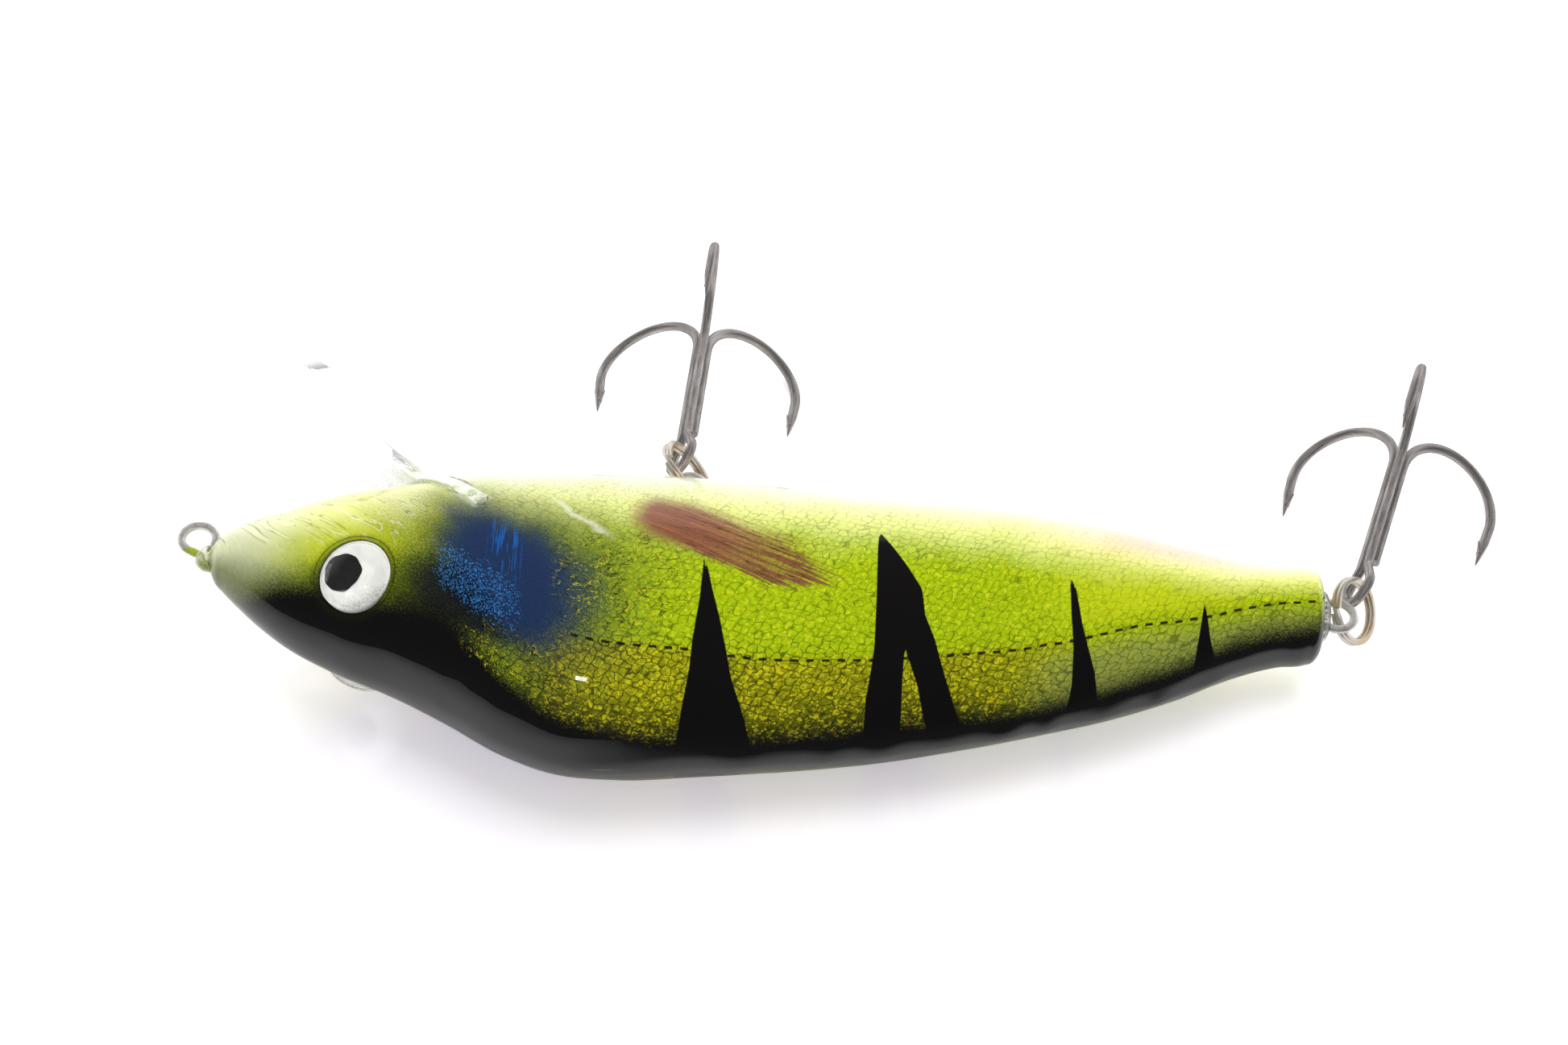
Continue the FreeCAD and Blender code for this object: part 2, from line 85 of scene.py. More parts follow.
# ---- paint marks: (distance from the line tie, distance round the flank from the back) ----
STRIPES = [
    [(65.3, 29.3), (66.6, 24.2), (67.6, 20.9), (68.6, 16.9), (69.3, 13.7), (70.5, 10.2),
     (71.4, 7.1), (72.7, 0.0), (62.5, 0.0), (63.4, 10.0), (64.1, 15.1), (64.3, 18.4),
     (65.0, 23.8)],
    [(87.3, 31.2), (89.1, 28.5), (91.1, 25.2), (92.8, 22.2), (93.2, 19.0), (94.5, 15.9),
     (95.2, 13.5), (96.4, 9.7), (97.8, 5.2), (99.2, 0.0), (85.4, 0.0), (86.1, 3.0), (86.1, 9.1),
     (86.9, 15.7), (87.0, 21.3), (87.1, 27.9)],
    [(111.7, 20.6), (112.5, 18.6), (113.2, 14.4), (113.9, 11.6), (115.0, 7.7), (116.1, 0.0),
     (111.5, 0.0), (112.1, 6.5), (112.1, 12.0), (111.8, 15.6)],
    [(129.1, 12.0), (129.6, 9.5), (130.0, 6.7), (130.7, 4.1), (131.6, 0.0), (127.6, 0.0),
     (127.9, 2.5), (128.3, 6.7), (128.8, 9.8)],
]
STRIPE_GAP = [(90.7, 15.4), (91.4, 13.5), (92.5, 10.4), (93.4, 6.0), (94.1, 3.1), (90.7, 3.9),
              (90.6, 11.0)]
FIN = [(55.9, 34.6), (56.5, 37.3), (58.6, 39.6), (63.5, 38.0), (69.7, 34.2), (76.1, 30.3),
       (81.8, 24.2), (73.6, 24.6), (69.7, 26.4), (63.5, 29.7), (57.9, 32.1)]
BACK_LINE = [(2.0, -4.0), (6.0, -2.0), (9.5, 3.2), (13.0, 7.2), (17.8, 9.4), (23.1, 9.9),
             (28.3, 11.6), (34.6, 12.8), (41.1, 10.4), (49.2, 7.2), (59.1, 4.8), (69.1, 3.6),
             (89.0, 4.0), (109.3, 3.0), (119.4, 3.9), (129.9, 3.9), (140.6, 3.3), (145.2, 3.0)]
SIDE_LINE = [(2.0, 12.0), (30.0, 20.0), (52.1, 18.8), (63.4, 17.5), (69.3, 16.2), (76.9, 15.1),
             (85.4, 14.4), (96.5, 13.7), (106.8, 12.7), (114.6, 12.3), (118.1, 12.2),
             (134.2, 8.7), (142.0, 7.8), (145.2, 7.6)]
GILL_CENTRE, GILL_RADII = (41.6, 23.4), (10.4, 8.2)

# ---- lip ----
LIP_THICK, LIP_ANGLE = 2.1, math.radians(47.0)
LIP_ROOT, LIP_LENGTH, LIP_ROOT_W, LIP_WIDTH = (36.9, -1.8), 42.7, 22.4, 18.0
LIP_OUTLINE = [(0.0, 1.2444), (0.08, 1.21), (0.16, 1.10), (0.27, 0.76), (0.38, 0.60), (0.52, 0.50),
               (0.63, 0.78), (0.76, 1.00), (0.91, 0.69)]

LIP_IOR, LIP_RIM, LIP_BEVEL_STEPS = 1.26, 0.35, 4
# the root reaches this far past the flank, down to this distance from it
ROOT_PAST_FLANK, ROOT_DEPTH, ROOT_ROWS = 0.3, 11.0, 12

# ---- wires ----
WIRE_R, LOOP_R, LEG_GAP, WIRE_SIDES, WIRE_STEP = 0.55, 2.2, 1.5, 24, 0.16
NECK_ANGLE, NECK_BEND = math.radians(55.0), 0.8
TIE_DIRECTION, TIE_LEG, TIE_BEND, SHORT_LEG = math.radians(-63.0), 5.2, 2.0, 16.0
TAIL_LOOP_OUT, TAIL_RETURN = 5.3, 14.0
BELLY_X, BELLY_LOOP_OUT, HANGER_LEG = 63.0, 3.85, 11.0

# ---- rings and hooks ----
RING_R, STRAND_R, STRAND_T, TURN_GAP, STRAND_EDGE = 4.05, 0.9, 0.6, 0.06, 0.22
RING_SPIN = math.radians(205)
HOOK_R, HOOK_EYE_R, HOOK_OFFSET = 0.65, 2.15, 0.8
SHANK_END, BEND_R, POINT_BACK, POINT_IN, POINT_TAPER = 25.2, 7.8, 7.2, 1.1, 4.4
SINGLE_START, EYE_NECK, EYE_NECK_BEND, EYE_NECK_ANGLE = 7.8, 6.2, 2.4, math.radians(50)
BARB_LENGTH, BARB_R, BARB_LIFT = 2.2, 0.40, 0.75
# the bends are pressed this much wider and thinner, and the wire is swept in these steps
PRESSED_WIDER, PRESSED_THINNER, HOOK_STEP, HOOK_SIDES = 0.06, 0.03, 0.30, 18
# where the braze runs along the shank, its radius and the points along it
BRAZE_FROM, BRAZE_TO, BRAZE_R, BRAZE_POINTS = 8.6, 24.6, 0.46, 60
RESTS = {
    "belly": {"ring": (62.52, 16.80, -0.96), "axis": (0.737, 0.209, 0.643),
              "eye": (61.84, 17.17, -1.23), "heading": 4.0, "droop": 6.99, "roll": 4.8},
    "tail": {"ring": (150.36, -1.04, -1.56), "axis": (0.720, -0.349, 0.599),
             "eye": (150.64, -0.41, -0.72), "heading": 17.4, "droop": 0.0, "roll": 0.5},
}

# ---- coat, epoxy and eyes: rows of (radius, height) are turned round an axis ----
# (place along the body, width, strength) of each sag of the coat
SAGS = [(71, 3.5, .7), (82, 2.2, .6), (88.5, 2.8, .9), (97, 4, .7), (104, 2.6, 1.1),
        (109.5, 1.6, .9), (117, 3.2, .8), (124, 2, 1), (131, 2.6, .8), (53, 5, .5)]
NOSE_BEAD_R, NOSE_BEAD_BACK = 1.75, 1.9 * 0.75
COLLAR_ROWS = [(0, 0), (2.0, 0), (3.45, 0), (3.46, 0.35), (3.3, 0.8), (2.9, 1.2), (2.3, 1.45),
               (1.5, 1.58), (0.8, 1.6), (0, 1.6)]
SOCKET_ROWS = [(0, -1.08), (4.86, -1.08), (4.86, 6), (0, 6)]
FOIL_ROWS = [(0, -0.02), (1.5, -0.02), (3.4, -0.01), (4.0, -0.02), (4.18, -0.10), (4.34, -0.10),
             (4.46, -0.01), (4.62, -0.03), (4.7, -0.16), (4.7, -0.98), (0, -0.98)]
PUPIL_R, PUPIL_SIDES, EYE_SIDES = 2.36, 120, 128
# (share of the radius, height)
PUPIL_ROWS = [(0.5, 0.28), (0.88, 0.26), (0.965, 0.20), (1.0, 0.08), (1.0, 0.0)]
# half width, rise and floor
LENS, LENS_IOR = (4.68, 1.85, 0.34), 1.3

# ---- stage: name, place, size, power, whether the coat mirrors it ----
LAMPS = [("back_softbox", (0.10, 0.62, 0.62), (0.9, 0.5), 5.0, False),
         ("top_softbox", (0.22, -0.05, 0.95), (0.5, 0.5), 3.6, False),
         ("front_fill", (-0.35, -0.75, 0.45), (0.5, 0.5), 1.4, False),
         ("spark", (0.02, -0.43, 0.68), (0.045, 0.045), 0.12, True)]

# metres: centre and radius of the table, and how far it is under the lure
TABLE_X, TABLE_R, TABLE_DROP, TABLE_SIDES, TABLE_IOR = 0.07, 0.55, 0.00005, 96, 2.2
TABLE_GLOW = (0.36, 0.335, 0.375)
ROOM, FILL, WHITE, BLACK = (0.035, 0.035, 0.037), (0.62, 0.62, 0.63), (1.0,) * 3, (0.0,) * 3

# ---- camera ----
CAMERA_AT = (82.29, -295.19, 352.60)
CAMERA_AIM = (75.60, 3.52, 1.11)
CAMERA_LENS = 81.84


def srgb(red, green, blue):
    """A colour given as 0 to 255 on a screen, as the linear values that Blender takes."""
    parts = [c / 255 for c in (red, green, blue)]
    return tuple(c / 12.92 if c <= 0.04045 else ((c + 0.055) / 1.055) ** 2.4 for c in parts)


# colours of the layers of paint on the body, among them painted shade, shadow, highlights and
# reflection
TINTS = {
    "gold_shade": srgb(84, 92, 6),
    "gold_flake": srgb(236, 218, 24),
    "lime_shade": srgb(118, 156, 8),
    "lime_flake": srgb(222, 228, 40),
    "tail_lime": srgb(216, 228, 32),
    "tail_reflection": srgb(150, 148, 104),
    "overspray": srgb(112, 124, 66),
    "salmon": srgb(250, 200, 174),
    "blush": srgb(232, 128, 86),
    "crack": srgb(48, 46, 8),
    "fine_crack": srgb(96, 112, 10),
    "crown": srgb(222, 230, 40),
    "crown_pale": srgb(246, 248, 164),
    "nose_low": srgb(106, 106, 94),
    "nose_high": srgb(226, 228, 202),
    "flow_shade": srgb(122, 134, 18),
    "flow_highlight": srgb(248, 250, 206),
    "cheek": srgb(34, 40, 14),
    "gill_spray": srgb(58, 70, 48),
    "soot": srgb(18, 22, 34),
    "gill_corner": srgb(12, 15, 26),
    "gill_dust": srgb(18, 26, 52),
    "gill_stroke": srgb(24, 104, 190),
    "highlight_streak": srgb(240, 240, 214),
    "fin_light": srgb(172, 104, 84),
    "fin_hair": srgb(62, 34, 16),
    "fin_gloss": srgb(206, 138, 92),
    "dash": srgb(24, 22, 8),
    "socket_shade": srgb(28, 30, 6),
    "slot_shadow": srgb(40, 42, 24),
    "slot_milk": srgb(206, 212, 170),
    "fold_shade": srgb(22, 28, 8),
    "glint": srgb(226, 216, 30),
}


# ---- settings ----
def colour(name, description, default):
    return bpy.props.FloatVectorProperty(
        name=name, description=description, default=default, subtype="COLOR", min=0, max=1)


class LurePaint(bpy.types.PropertyGroup):
    belly: colour("Belly", "Pale paint along the belly", srgb(247, 249, 232))
    pale: colour("Pale green", "Between the belly and the lime flank", srgb(243, 247, 150))
    lime: colour("Lime", "Upper flank", srgb(180, 205, 8))
    gold: colour("Gold", "Foil below the side line", srgb(172, 172, 16))
    olive: colour("Olive", "Edge of the dark back", srgb(62, 62, 10))
    back: colour("Back", "Black of the back and the stripes", srgb(13, 11, 12))
    gill: colour("Gill", "Dark blue of the gill patch", srgb(34, 56, 98))
    glitter: colour("Gill glitter", "Bright blue flakes", srgb(54, 136, 212))
    fin: colour("Fin", "Brushed red-brown side fin", srgb(138, 78, 62))
    scale_size: bpy.props.FloatProperty(
        name="Scale size", description="Width of one crackled scale in mm", default=0.85, min=0.3)
    dash_pitch: bpy.props.FloatProperty(
        name="Dash pitch", description="Step of the dashed side line in mm", default=1.95, min=0.5)


class LureClear(bpy.types.PropertyGroup):
    wave: bpy.props.FloatProperty(
        name="Coat wave", description="Height of the waves in the epoxy coat in mm",
        default=0.07, min=0)
    sag: bpy.props.FloatProperty(
        name="Coat sag", description="Height of the epoxy sags along the back in mm",
        default=0.35, min=0)
    lip_tint: colour("Lip", "Colour of the clear lip", srgb(250, 252, 252))
    lip_bleed: colour("Lip paint", "Paint that has run onto the lip", srgb(176, 196, 70))
    foil: colour("Eye foil", "Silver disc of the eye", srgb(240, 240, 236))


class LureMetal(bpy.types.PropertyGroup):
    nickel: colour("Nickel", "Split rings", srgb(232, 226, 216))
    steel: colour("Steel", "Through-wire and belly hanger", srgb(230, 227, 222))
    black_nickel: colour("Black nickel", "Treble hooks", srgb(156, 152, 150))
    turns: bpy.props.FloatProperty(
        name="Ring turns", description="Turns of wire in a split ring", default=1.97, min=1)


# ---- geometry helpers ----
def pitched(points, sign):
    """Turned about Y by the lure's lying pitch, one way or the other."""
    c, s = math.cos(LYING_PITCH), math.sin(LYING_PITCH) * sign
    x, y, z = np.moveaxis(np.asarray(points, float), -1, 0)
    return np.stack([x * c + z * s, y, z * c - x * s], -1)


def lay_down(points):
    """Lure millimetres to scene metres, with the lure lying on its left flank."""
    return pitched(points, 1) * MM


def stand_up(points):
    """Scene metres back to lure millimetres."""
    return pitched(np.asarray(points, float) / MM, -1)


def circle(count):
    return np.linspace(0, 2 * math.pi, count, endpoint=False)


def distances(path):
    """How far along a line of points each of them is."""
    return np.concatenate([[0], np.cumsum(np.linalg.norm(np.diff(path, axis=0), axis=1))])


def from_ends(count, reach, least):
    """Rises from least at both ends of a row to 1 at reach steps from them."""
    steps = np.arange(count)
    return np.clip(np.minimum(steps, steps[::-1]) / reach, least, 1)


def hermite(values, slope, i, span, t):
    """Cubic between rows i and i + 1 with these slopes."""
    return (values[i] * (1 + 2 * t) * (1 - t) ** 2 + values[i + 1] * t * t * (3 - 2 * t)
            + slope[i] * span * t * (1 - t) ** 2 - slope[i + 1] * span * t * t * (1 - t))


def smooth_line(x, at, *columns):
    """Smooth curves through each column's values at the places in at, read at x."""
    i = np.clip(np.searchsorted(at, x, side="right") - 1, 0, len(at) - 2)
    span = at[i + 1] - at[i]
    t = np.clip((x - at[i]) / span, 0, 1)
    return [hermite(v, np.gradient(v, at), i, span, t) for v in columns]


def unit(v):
    v = np.asarray(v, float)
    return v / np.linalg.norm(v)


def mesh_points(mesh):
    co = np.zeros(len(mesh.vertices) * 3)
    mesh.vertices.foreach_get("co", co)
    return co.reshape(-1, 3)


def new_mesh(name, points, faces):
    mesh = bpy.data.meshes.new(name)
    mesh.from_pydata(lay_down(points).tolist(), [], [list(f) for f in faces])
    return mesh


def face_outwards(mesh):
    bm = bmesh.new()
    bm.from_mesh(mesh)
    bmesh.ops.remove_doubles(bm, verts=bm.verts, dist=1e-7)
    bmesh.ops.recalc_face_normals(bm, faces=bm.faces)
    bm.to_mesh(mesh)
    bm.free()


def add_marks(mesh, marks):
    for key, values in marks.items():
        values = np.asarray(values, float)
        kind, field = ("FLOAT", "value") if values.ndim == 1 else ("FLOAT_VECTOR", "vector")
        if key in mesh.attributes:
            mesh.attributes.remove(mesh.attributes[key])
        mesh.attributes.new(key, kind, "POINT").data.foreach_set(field, values.ravel())


def linked(name, data):
    """A new object in the scene."""
    thing = bpy.data.objects.new(name, data)
    bpy.context.scene.collection.objects.link(thing)
    return thing


def add_piece(mesh, look, body, stands_for=(), sharp=60.0):
    mesh.materials.clear()
    mesh.materials.append(look)
    mesh.shade_smooth()
    mesh.set_sharp_from_angle(angle=math.radians(sharp))
    piece = linked(mesh.name, mesh)
    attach(piece, body)
    if stands_for:
        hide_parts(*stands_for)


def joined_mesh(name, parts):
    """One mesh of several (points, faces, marks)."""
    faces, start = [], 0
    for points, part_faces, _ in parts:
        faces += [[i + start for i in face] for face in part_faces]
        start += len(points)
    mesh = new_mesh(name, np.concatenate([points for points, _, _ in parts]), faces)
    add_marks(mesh, {"run": np.concatenate([marks for _, _, marks in parts])})
    return mesh


def tube_faces(rings, sides, closed_ends=True):
    faces = []
    for i in range(rings - 1):
        for j in range(sides):
            k = (j + 1) % sides
            faces.append((i * sides + j, i * sides + k, (i + 1) * sides + k, (i + 1) * sides + j))
    if closed_ends:
        faces.append(tuple(range(sides))[::-1])
        faces.append(tuple((rings - 1) * sides + j for j in range(sides)))
    return faces


def frames_along(path, first=None):
    """Two steady cross directions along a line of points."""
    tangents = np.gradient(path, axis=0)
    tangents /= np.linalg.norm(tangents, axis=1)[:, None]
    side = np.cross(tangents[0], first if first is not None else (0.31, 0.27, 0.9))
    sides = []
    for t in tangents:
        side = unit(side - t * np.dot(side, t))
        sides.append(side)
    sides = np.array(sides)
    return sides, np.cross(tangents, sides)


def sweep(path, radii, sides=20, squash=None, first=None):
    """A round tube along points. squash(i) gives the two half widths as parts of the radius."""
    path = np.asarray(path, float)
    a, b = frames_along(path, first)
    turn = circle(sides)
    wide = np.ones((len(path), 2)) if squash is None else squash
    ring = (a[:, None] * (np.cos(turn)[None, :, None] * wide[:, :1, None])
            + b[:, None] * (np.sin(turn)[None, :, None] * wide[:, 1:, None]))
    points = path[:, None] + ring * np.asarray(radii)[:, None, None]
    marks = np.stack(np.broadcast_arrays(
        distances(path)[:, None], np.cos(turn)[None] * HOOK_R, np.sin(turn)[None] * HOOK_R), -1)
    return points.reshape(-1, 3), tube_faces(len(path), sides), marks.reshape(-1, 3)


def rounded_path(corners, step=0.35):
    """Points along straight runs joined by arcs. Each corner is (point, bend radius)."""
    out = [np.asarray(corners[0][0], float)]
    for (before, _), (here, radius), (after, _) in zip(corners, corners[1:], corners[2:]):
        here = np.asarray(here, float)
        into, leave = unit(here - before), unit(after - here)
        turn = math.acos(max(-1.0, min(1.0, float(np.dot(into, leave)))))
        if radius <= 0 or turn < 1e-4:
            out.append(here)
            continue
        cut = radius * math.tan(turn / 2)
        middle = here + unit(leave - into) * (radius / math.cos(turn / 2))
        start = here - into * cut - middle
        across = unit(into - start * np.dot(into, start) / np.dot(start, start)) * radius
        count = max(3, int(radius * turn / step) + 1)
        for t in np.linspace(0, turn, count):
            out.append(middle + start * math.cos(t) + across * math.sin(t))
    out.append(np.asarray(corners[-1][0], float))
    return even_steps(np.array(out), step)


def even_steps(path, step):
    gaps = np.linalg.norm(np.diff(path, axis=0), axis=1)
    keep = np.concatenate([[True], gaps > 1e-6])
    path = path[keep]
    at = distances(path)
    want = np.linspace(0, at[-1], max(4, int(at[-1] / step)))
    return np.stack([np.interp(want, at, path[:, i]) for i in range(3)], 1)


def lathe(profile, centre, axis, along, sides=96):
    """Turns (radius, height) rows round an axis; rows of radius 0 become poles."""
    axis, along = unit(axis), unit(along)
    other = np.cross(axis, along)
    points, rows = [], []
    for radius, height in profile:
        if radius < 1e-6:
            rows.append([len(points)])
            points.append(centre + axis * height)
            continue
        rows.append(list(range(len(points), len(points) + sides)))
        for t in circle(sides):
            points.append(centre + axis * height
                          + (along * math.cos(t) + other * math.sin(t)) * radius)
    faces = []
    for low, high in zip(rows, rows[1:]):
        for j in range(sides):
            k = (j + 1) % sides
            quad = [low[j % len(low)], low[k % len(low)], high[k % len(high)], high[j % len(high)]]
            face = [v for i, v in enumerate(quad) if v not in quad[:i]]
            if len(face) > 2:
                faces.append(tuple(face))
    return np.array(points), faces


def ball_rows(radius, count):
    """The profile of a ball, for lathe."""
    return [(radius * math.sin(t), -radius * math.cos(t)) for t in np.linspace(0, math.pi, count)]


def ripple(points, size, seed):
    """Smooth noise between -1 and 1 at each point, with bumps about size wide."""
    return np.array([noise.noise(Vector(p) / size + Vector((seed, 0, 0))) for p in points])


# ---- shader helper ----
class Number:
    """One number in a material. Arithmetic on it adds the Math nodes."""

    def __init__(self, shader, socket):
        self.shader, self.socket = shader, socket

    def math(self, operation, *values):
        node = self.shader.add("ShaderNodeMath", {"operation": operation},
                               dict(enumerate(values)))
        return Number(self.shader, node.outputs[0])

    def __add__(self, other):
        return self.math("ADD", self, other)

    __radd__ = __add__

    def __sub__(self, other):
        return self.math("SUBTRACT", self, other)

    def __rsub__(self, other):
        return self.math("SUBTRACT", other, self)

    def __mul__(self, other):
        return self.math("MULTIPLY", self, other)

    def __truediv__(self, other):
        return self.math("DIVIDE", self, other)

    def __mod__(self, other):
        return self.math("FLOORED_MODULO", self, other)

    def size(self):
        return self.math("ABSOLUTE", self)

    def highest(self, other):
        return self.math("MAXIMUM", self, other)

    def fade(self, low, high):
        """0 below low, 1 above high, smooth between."""
        node = self.shader.add("ShaderNodeMapRange", {"interpolation_type": "SMOOTHSTEP"},
                               {"Value": self, "From Min": low, "From Max": high})
        return Number(self.shader, node.outputs["Result"])

    def fall(self, low, high):
        """1 below low, 0 above high, smooth between."""
        return 1.0 - self.fade(low, high)

    def near(self, middle, low, high, scale=1.0):
        """1 close to the middle and 0 away from it, by the distance times the scale."""
        away = self - middle
        return (away if scale == 1.0 else away * scale).size().fall(low, high)


class Nodes:
    """A node tree and the one way in which nodes are added to it."""

    def __init__(self, tree):
        self.tree = tree

    def add(self, kind, settings=None, values=None):
        node = self.tree.nodes.new(kind)
        for key, setting in (settings or {}).items():
            setattr(node, key, setting)
        for key, value in (values or {}).items():
            if isinstance(value, Number):
                value = value.socket
            if isinstance(value, bpy.types.NodeSocket):
                self.tree.links.new(value, node.inputs[key])
            else:
                node.inputs[key].default_value = value
        return node


class Shader(Nodes):
    """A material, or the world, and the few ways in which its nodes are made."""

    def __init__(self, name, owner=None):
        self.owner = owner or bpy.data.materials.new(name)
        self.owner.use_nodes = True
        super().__init__(self.owner.node_tree)
        self.tree.nodes.clear()
        self.tint = None

    def mark(self, name, output="Vector"):
        return self.add("ShaderNodeAttribute", {"attribute_name": name}).outputs[output]

    def split(self, vector):
        node = self.add("ShaderNodeSeparateXYZ", values={0: vector})
        return [Number(self, s) for s in node.outputs]

    def vector(self, x, y, z=0.0):
        return self.add("ShaderNodeCombineXYZ", values={0: x, 1: y, 2: z}).outputs[0]

    def place(self):
        """Object coordinates in millimetres."""
        where = self.add("ShaderNodeTexCoord").outputs["Object"]
        return self.scaled(where, (1 / MM,) * 3)

    def scaled(self, vector, factors):
        return self.add("ShaderNodeVectorMath", {"operation": "MULTIPLY"},
                        {0: vector, 1: factors}).outputs[0]

    def noise(self, vector, scale, detail=2.0, rough=0.5, warp=0.0):
        node = self.add("ShaderNodeTexNoise", None, {
            "Vector": vector, "Scale": scale, "Detail": detail, "Roughness": rough,
            "Distortion": warp})
        return Number(self, node.outputs["Fac"])

    def cells(self, vector, scale, feature="F1", random=1.0):
        return self.add("ShaderNodeTexVoronoi", {"feature": feature},
                        {"Vector": vector, "Scale": scale, "Randomness": random}).outputs

    def mix(self, amount, first, second):
        """Blends two colours, each a name in TINTS, a setting, a value or a socket."""
        values = {0: amount}
        for index, colour in ((6, first), (7, second)):
            if isinstance(colour, str):
                colour = TINTS[colour]
            solid = not isinstance(colour, bpy.types.NodeSocket)
            values[index] = (*colour[:3], 1.0) if solid else colour
        return self.add("ShaderNodeMix", {"data_type": "RGBA"}, values).outputs[2]

    def lay(self, amount, colour):
        """One more layer of colour over the tint so far."""
        self.tint = self.mix(amount, self.tint, colour)

    def bump(self, height, distance, strength=1.0):
        node = self.add("ShaderNodeBump", None, {
            "Height": height, "Distance": distance * MM, "Strength": strength})
        return node.outputs["Normal"]

    def surface(self, **values):
        """A Principled shader; underscores stand for the spaces in its socket names."""
        return self.add("ShaderNodeBsdfPrincipled", None,
                        {k.replace("_", " "): v for k, v in values.items()}).outputs[0]

    def blend(self, amount, first, second):
        return self.add("ShaderNodeMixShader", None, {0: amount, 1: first, 2: second}).outputs[0]

    def rays(self):
        """Whether a ray comes from the eye, from a mirror or from a matt surface."""
        path = self.add("ShaderNodeLightPath").outputs
        eye, through, mirror, matt = (Number(self, path[f"Is {kind} Ray"]) for kind in
                                      ("Camera", "Transmission", "Glossy", "Diffuse"))
        return eye.highest(through), mirror, matt

    def finish(self, shader):
        self.add("ShaderNodeOutputMaterial", None, {"Surface": shader})
        return self.owner


# ---- body skin ----
def body_sizes(x):
    """Belly y, back y and half thickness at each x, on a smooth curve through the profile."""
    sizes = PROFILE[:, 1:] * (BODY_HEIGHT, BODY_HEIGHT, BODY_THICKNESS)
    belly, back, half = smooth_line(np.asarray(x, float), NOSE_X + PROFILE[:, 0] * BODY_LENGTH,
                                    *sizes.T)
    return AXIS_Y + belly, AXIS_Y + back, half


def cross_section(x):
    """Middle y, half height and half thickness of the body at each x."""
    belly, back, half = body_sizes(x)
    return (belly + back) / 2, (belly - back) / 2, half


def skin_grid():
    """Points of the body's skin: rows along the body, each going round from the back."""
    u = np.linspace(0, 1, ALONG)
    x = NOSE_X + BODY_LENGTH * (0.72 * u + 0.28 * (1 - np.cos(math.pi * u)) / 2)
    centre, high, half = cross_section(x)
    turn = circle(AROUND)
    grid = np.stack(np.broadcast_arrays(
        x[:, None], centre[:, None] - high[:, None] * np.cos(turn),
        half[:, None] * np.sin(turn)), -1)
    return grid, turn


def coat_height(grid, turn, clear):
    """Waves of the brushed epoxy, and its sags where it ran down to the back."""
    flat = grid.reshape(-1, 3)
    stretched = flat * np.array([0.45, 1.0, 1.0])
    wave = (ripple(stretched, 6.0, 3.1) + 0.4 * ripple(stretched, 2.2, 9.7)) * clear.wave
    x = flat[:, 0]
    angle = np.tile(np.where(turn > math.pi, turn - 2 * math.pi, turn), len(grid))
    sags = np.zeros(len(flat))
    for at, width, strength in SAGS:
        sags += strength * np.exp(-((x - at) / width) ** 2) * np.exp(-((angle + 0.10) / 0.16) ** 2)
    ends = np.clip((x - 4) / 8, 0, 1) * np.clip((144 - x) / 4, 0, 1)
    return (wave + sags * clear.sag - clear.wave) * ends


def skin_mesh(clear):
    grid, turn = skin_grid()
    outward = grid - np.stack([grid[:, 0, 0], grid[..., 1].mean(1), grid[:, 0, 0] * 0],
                              -1)[:, None]
    outward /= np.linalg.norm(outward, axis=2)[..., None]
    height = coat_height(grid, turn, clear)
    points = grid + outward * height.reshape(len(grid), -1, 1)
    rings = [points]
    nose, tail = points[0], points[-1]
    for shrink, out in ((0.72, 0.22), (0.4, 0.36)):
        ring = nose.mean(0) + (nose - nose.mean(0)) * shrink - np.array([out, 0, 0])
        rings.insert(0, ring[None])
    for shrink in (0.9, 0.6, 0.3):
        ring = tail.mean(0) + (tail - tail.mean(0)) * shrink
        rings.append(ring[None])
    points = np.concatenate(rings).reshape(-1, 3)
    rows = len(points) // AROUND
    faces = tube_faces(rows, AROUND, closed_ends=False)
    for row, centre in ((0, nose.mean(0) - np.array([0.42, 0, 0])), (rows - 1, tail.mean(0))):
        pole = len(points)
        points = np.concatenate([points, centre[None]])
        for j in range(AROUND):
            a, b = row * AROUND + j, row * AROUND + (j + 1) % AROUND
            faces.append((pole, b, a) if row == 0 else (pole, a, b))
    mesh = new_mesh("painted_body", points, faces)
    face_outwards(mesh)
    return mesh


def outline_distance(x, s, corners):
    """Distance to a closed outline, negative inside it."""
    corners = np.array(corners, float)
    best = np.full(len(x), 1e9)
    inside = np.zeros(len(x), bool)
    for a, b in zip(corners, np.roll(corners, -1, axis=0)):
        edge = b - a
        t = np.clip(((x - a[0]) * edge[0] + (s - a[1]) * edge[1]) / (edge @ edge), 0, 1)
        best = np.minimum(best, np.hypot(x - a[0] - t * edge[0], s - a[1] - t * edge[1]))
        crosses = (a[1] > s) != (b[1] > s)
        with np.errstate(divide="ignore", invalid="ignore"):
            at = a[0] + (s - a[1]) * edge[0] / edge[1]
        inside ^= crosses & (x < at)
    return np.where(inside, -best, best)


def flank_place(points):
    """How far each point is from the back, measured round the flank, and the whole way round."""
    x = points[:, 0]
    middle, high, half = cross_section(x)
    angle = np.arctan2(np.abs(points[:, 2]) / half, (middle - points[:, 1]) / high)
    girth = np.sqrt((high ** 2 + half ** 2) / 2)
    return x, angle * girth, girth * math.pi


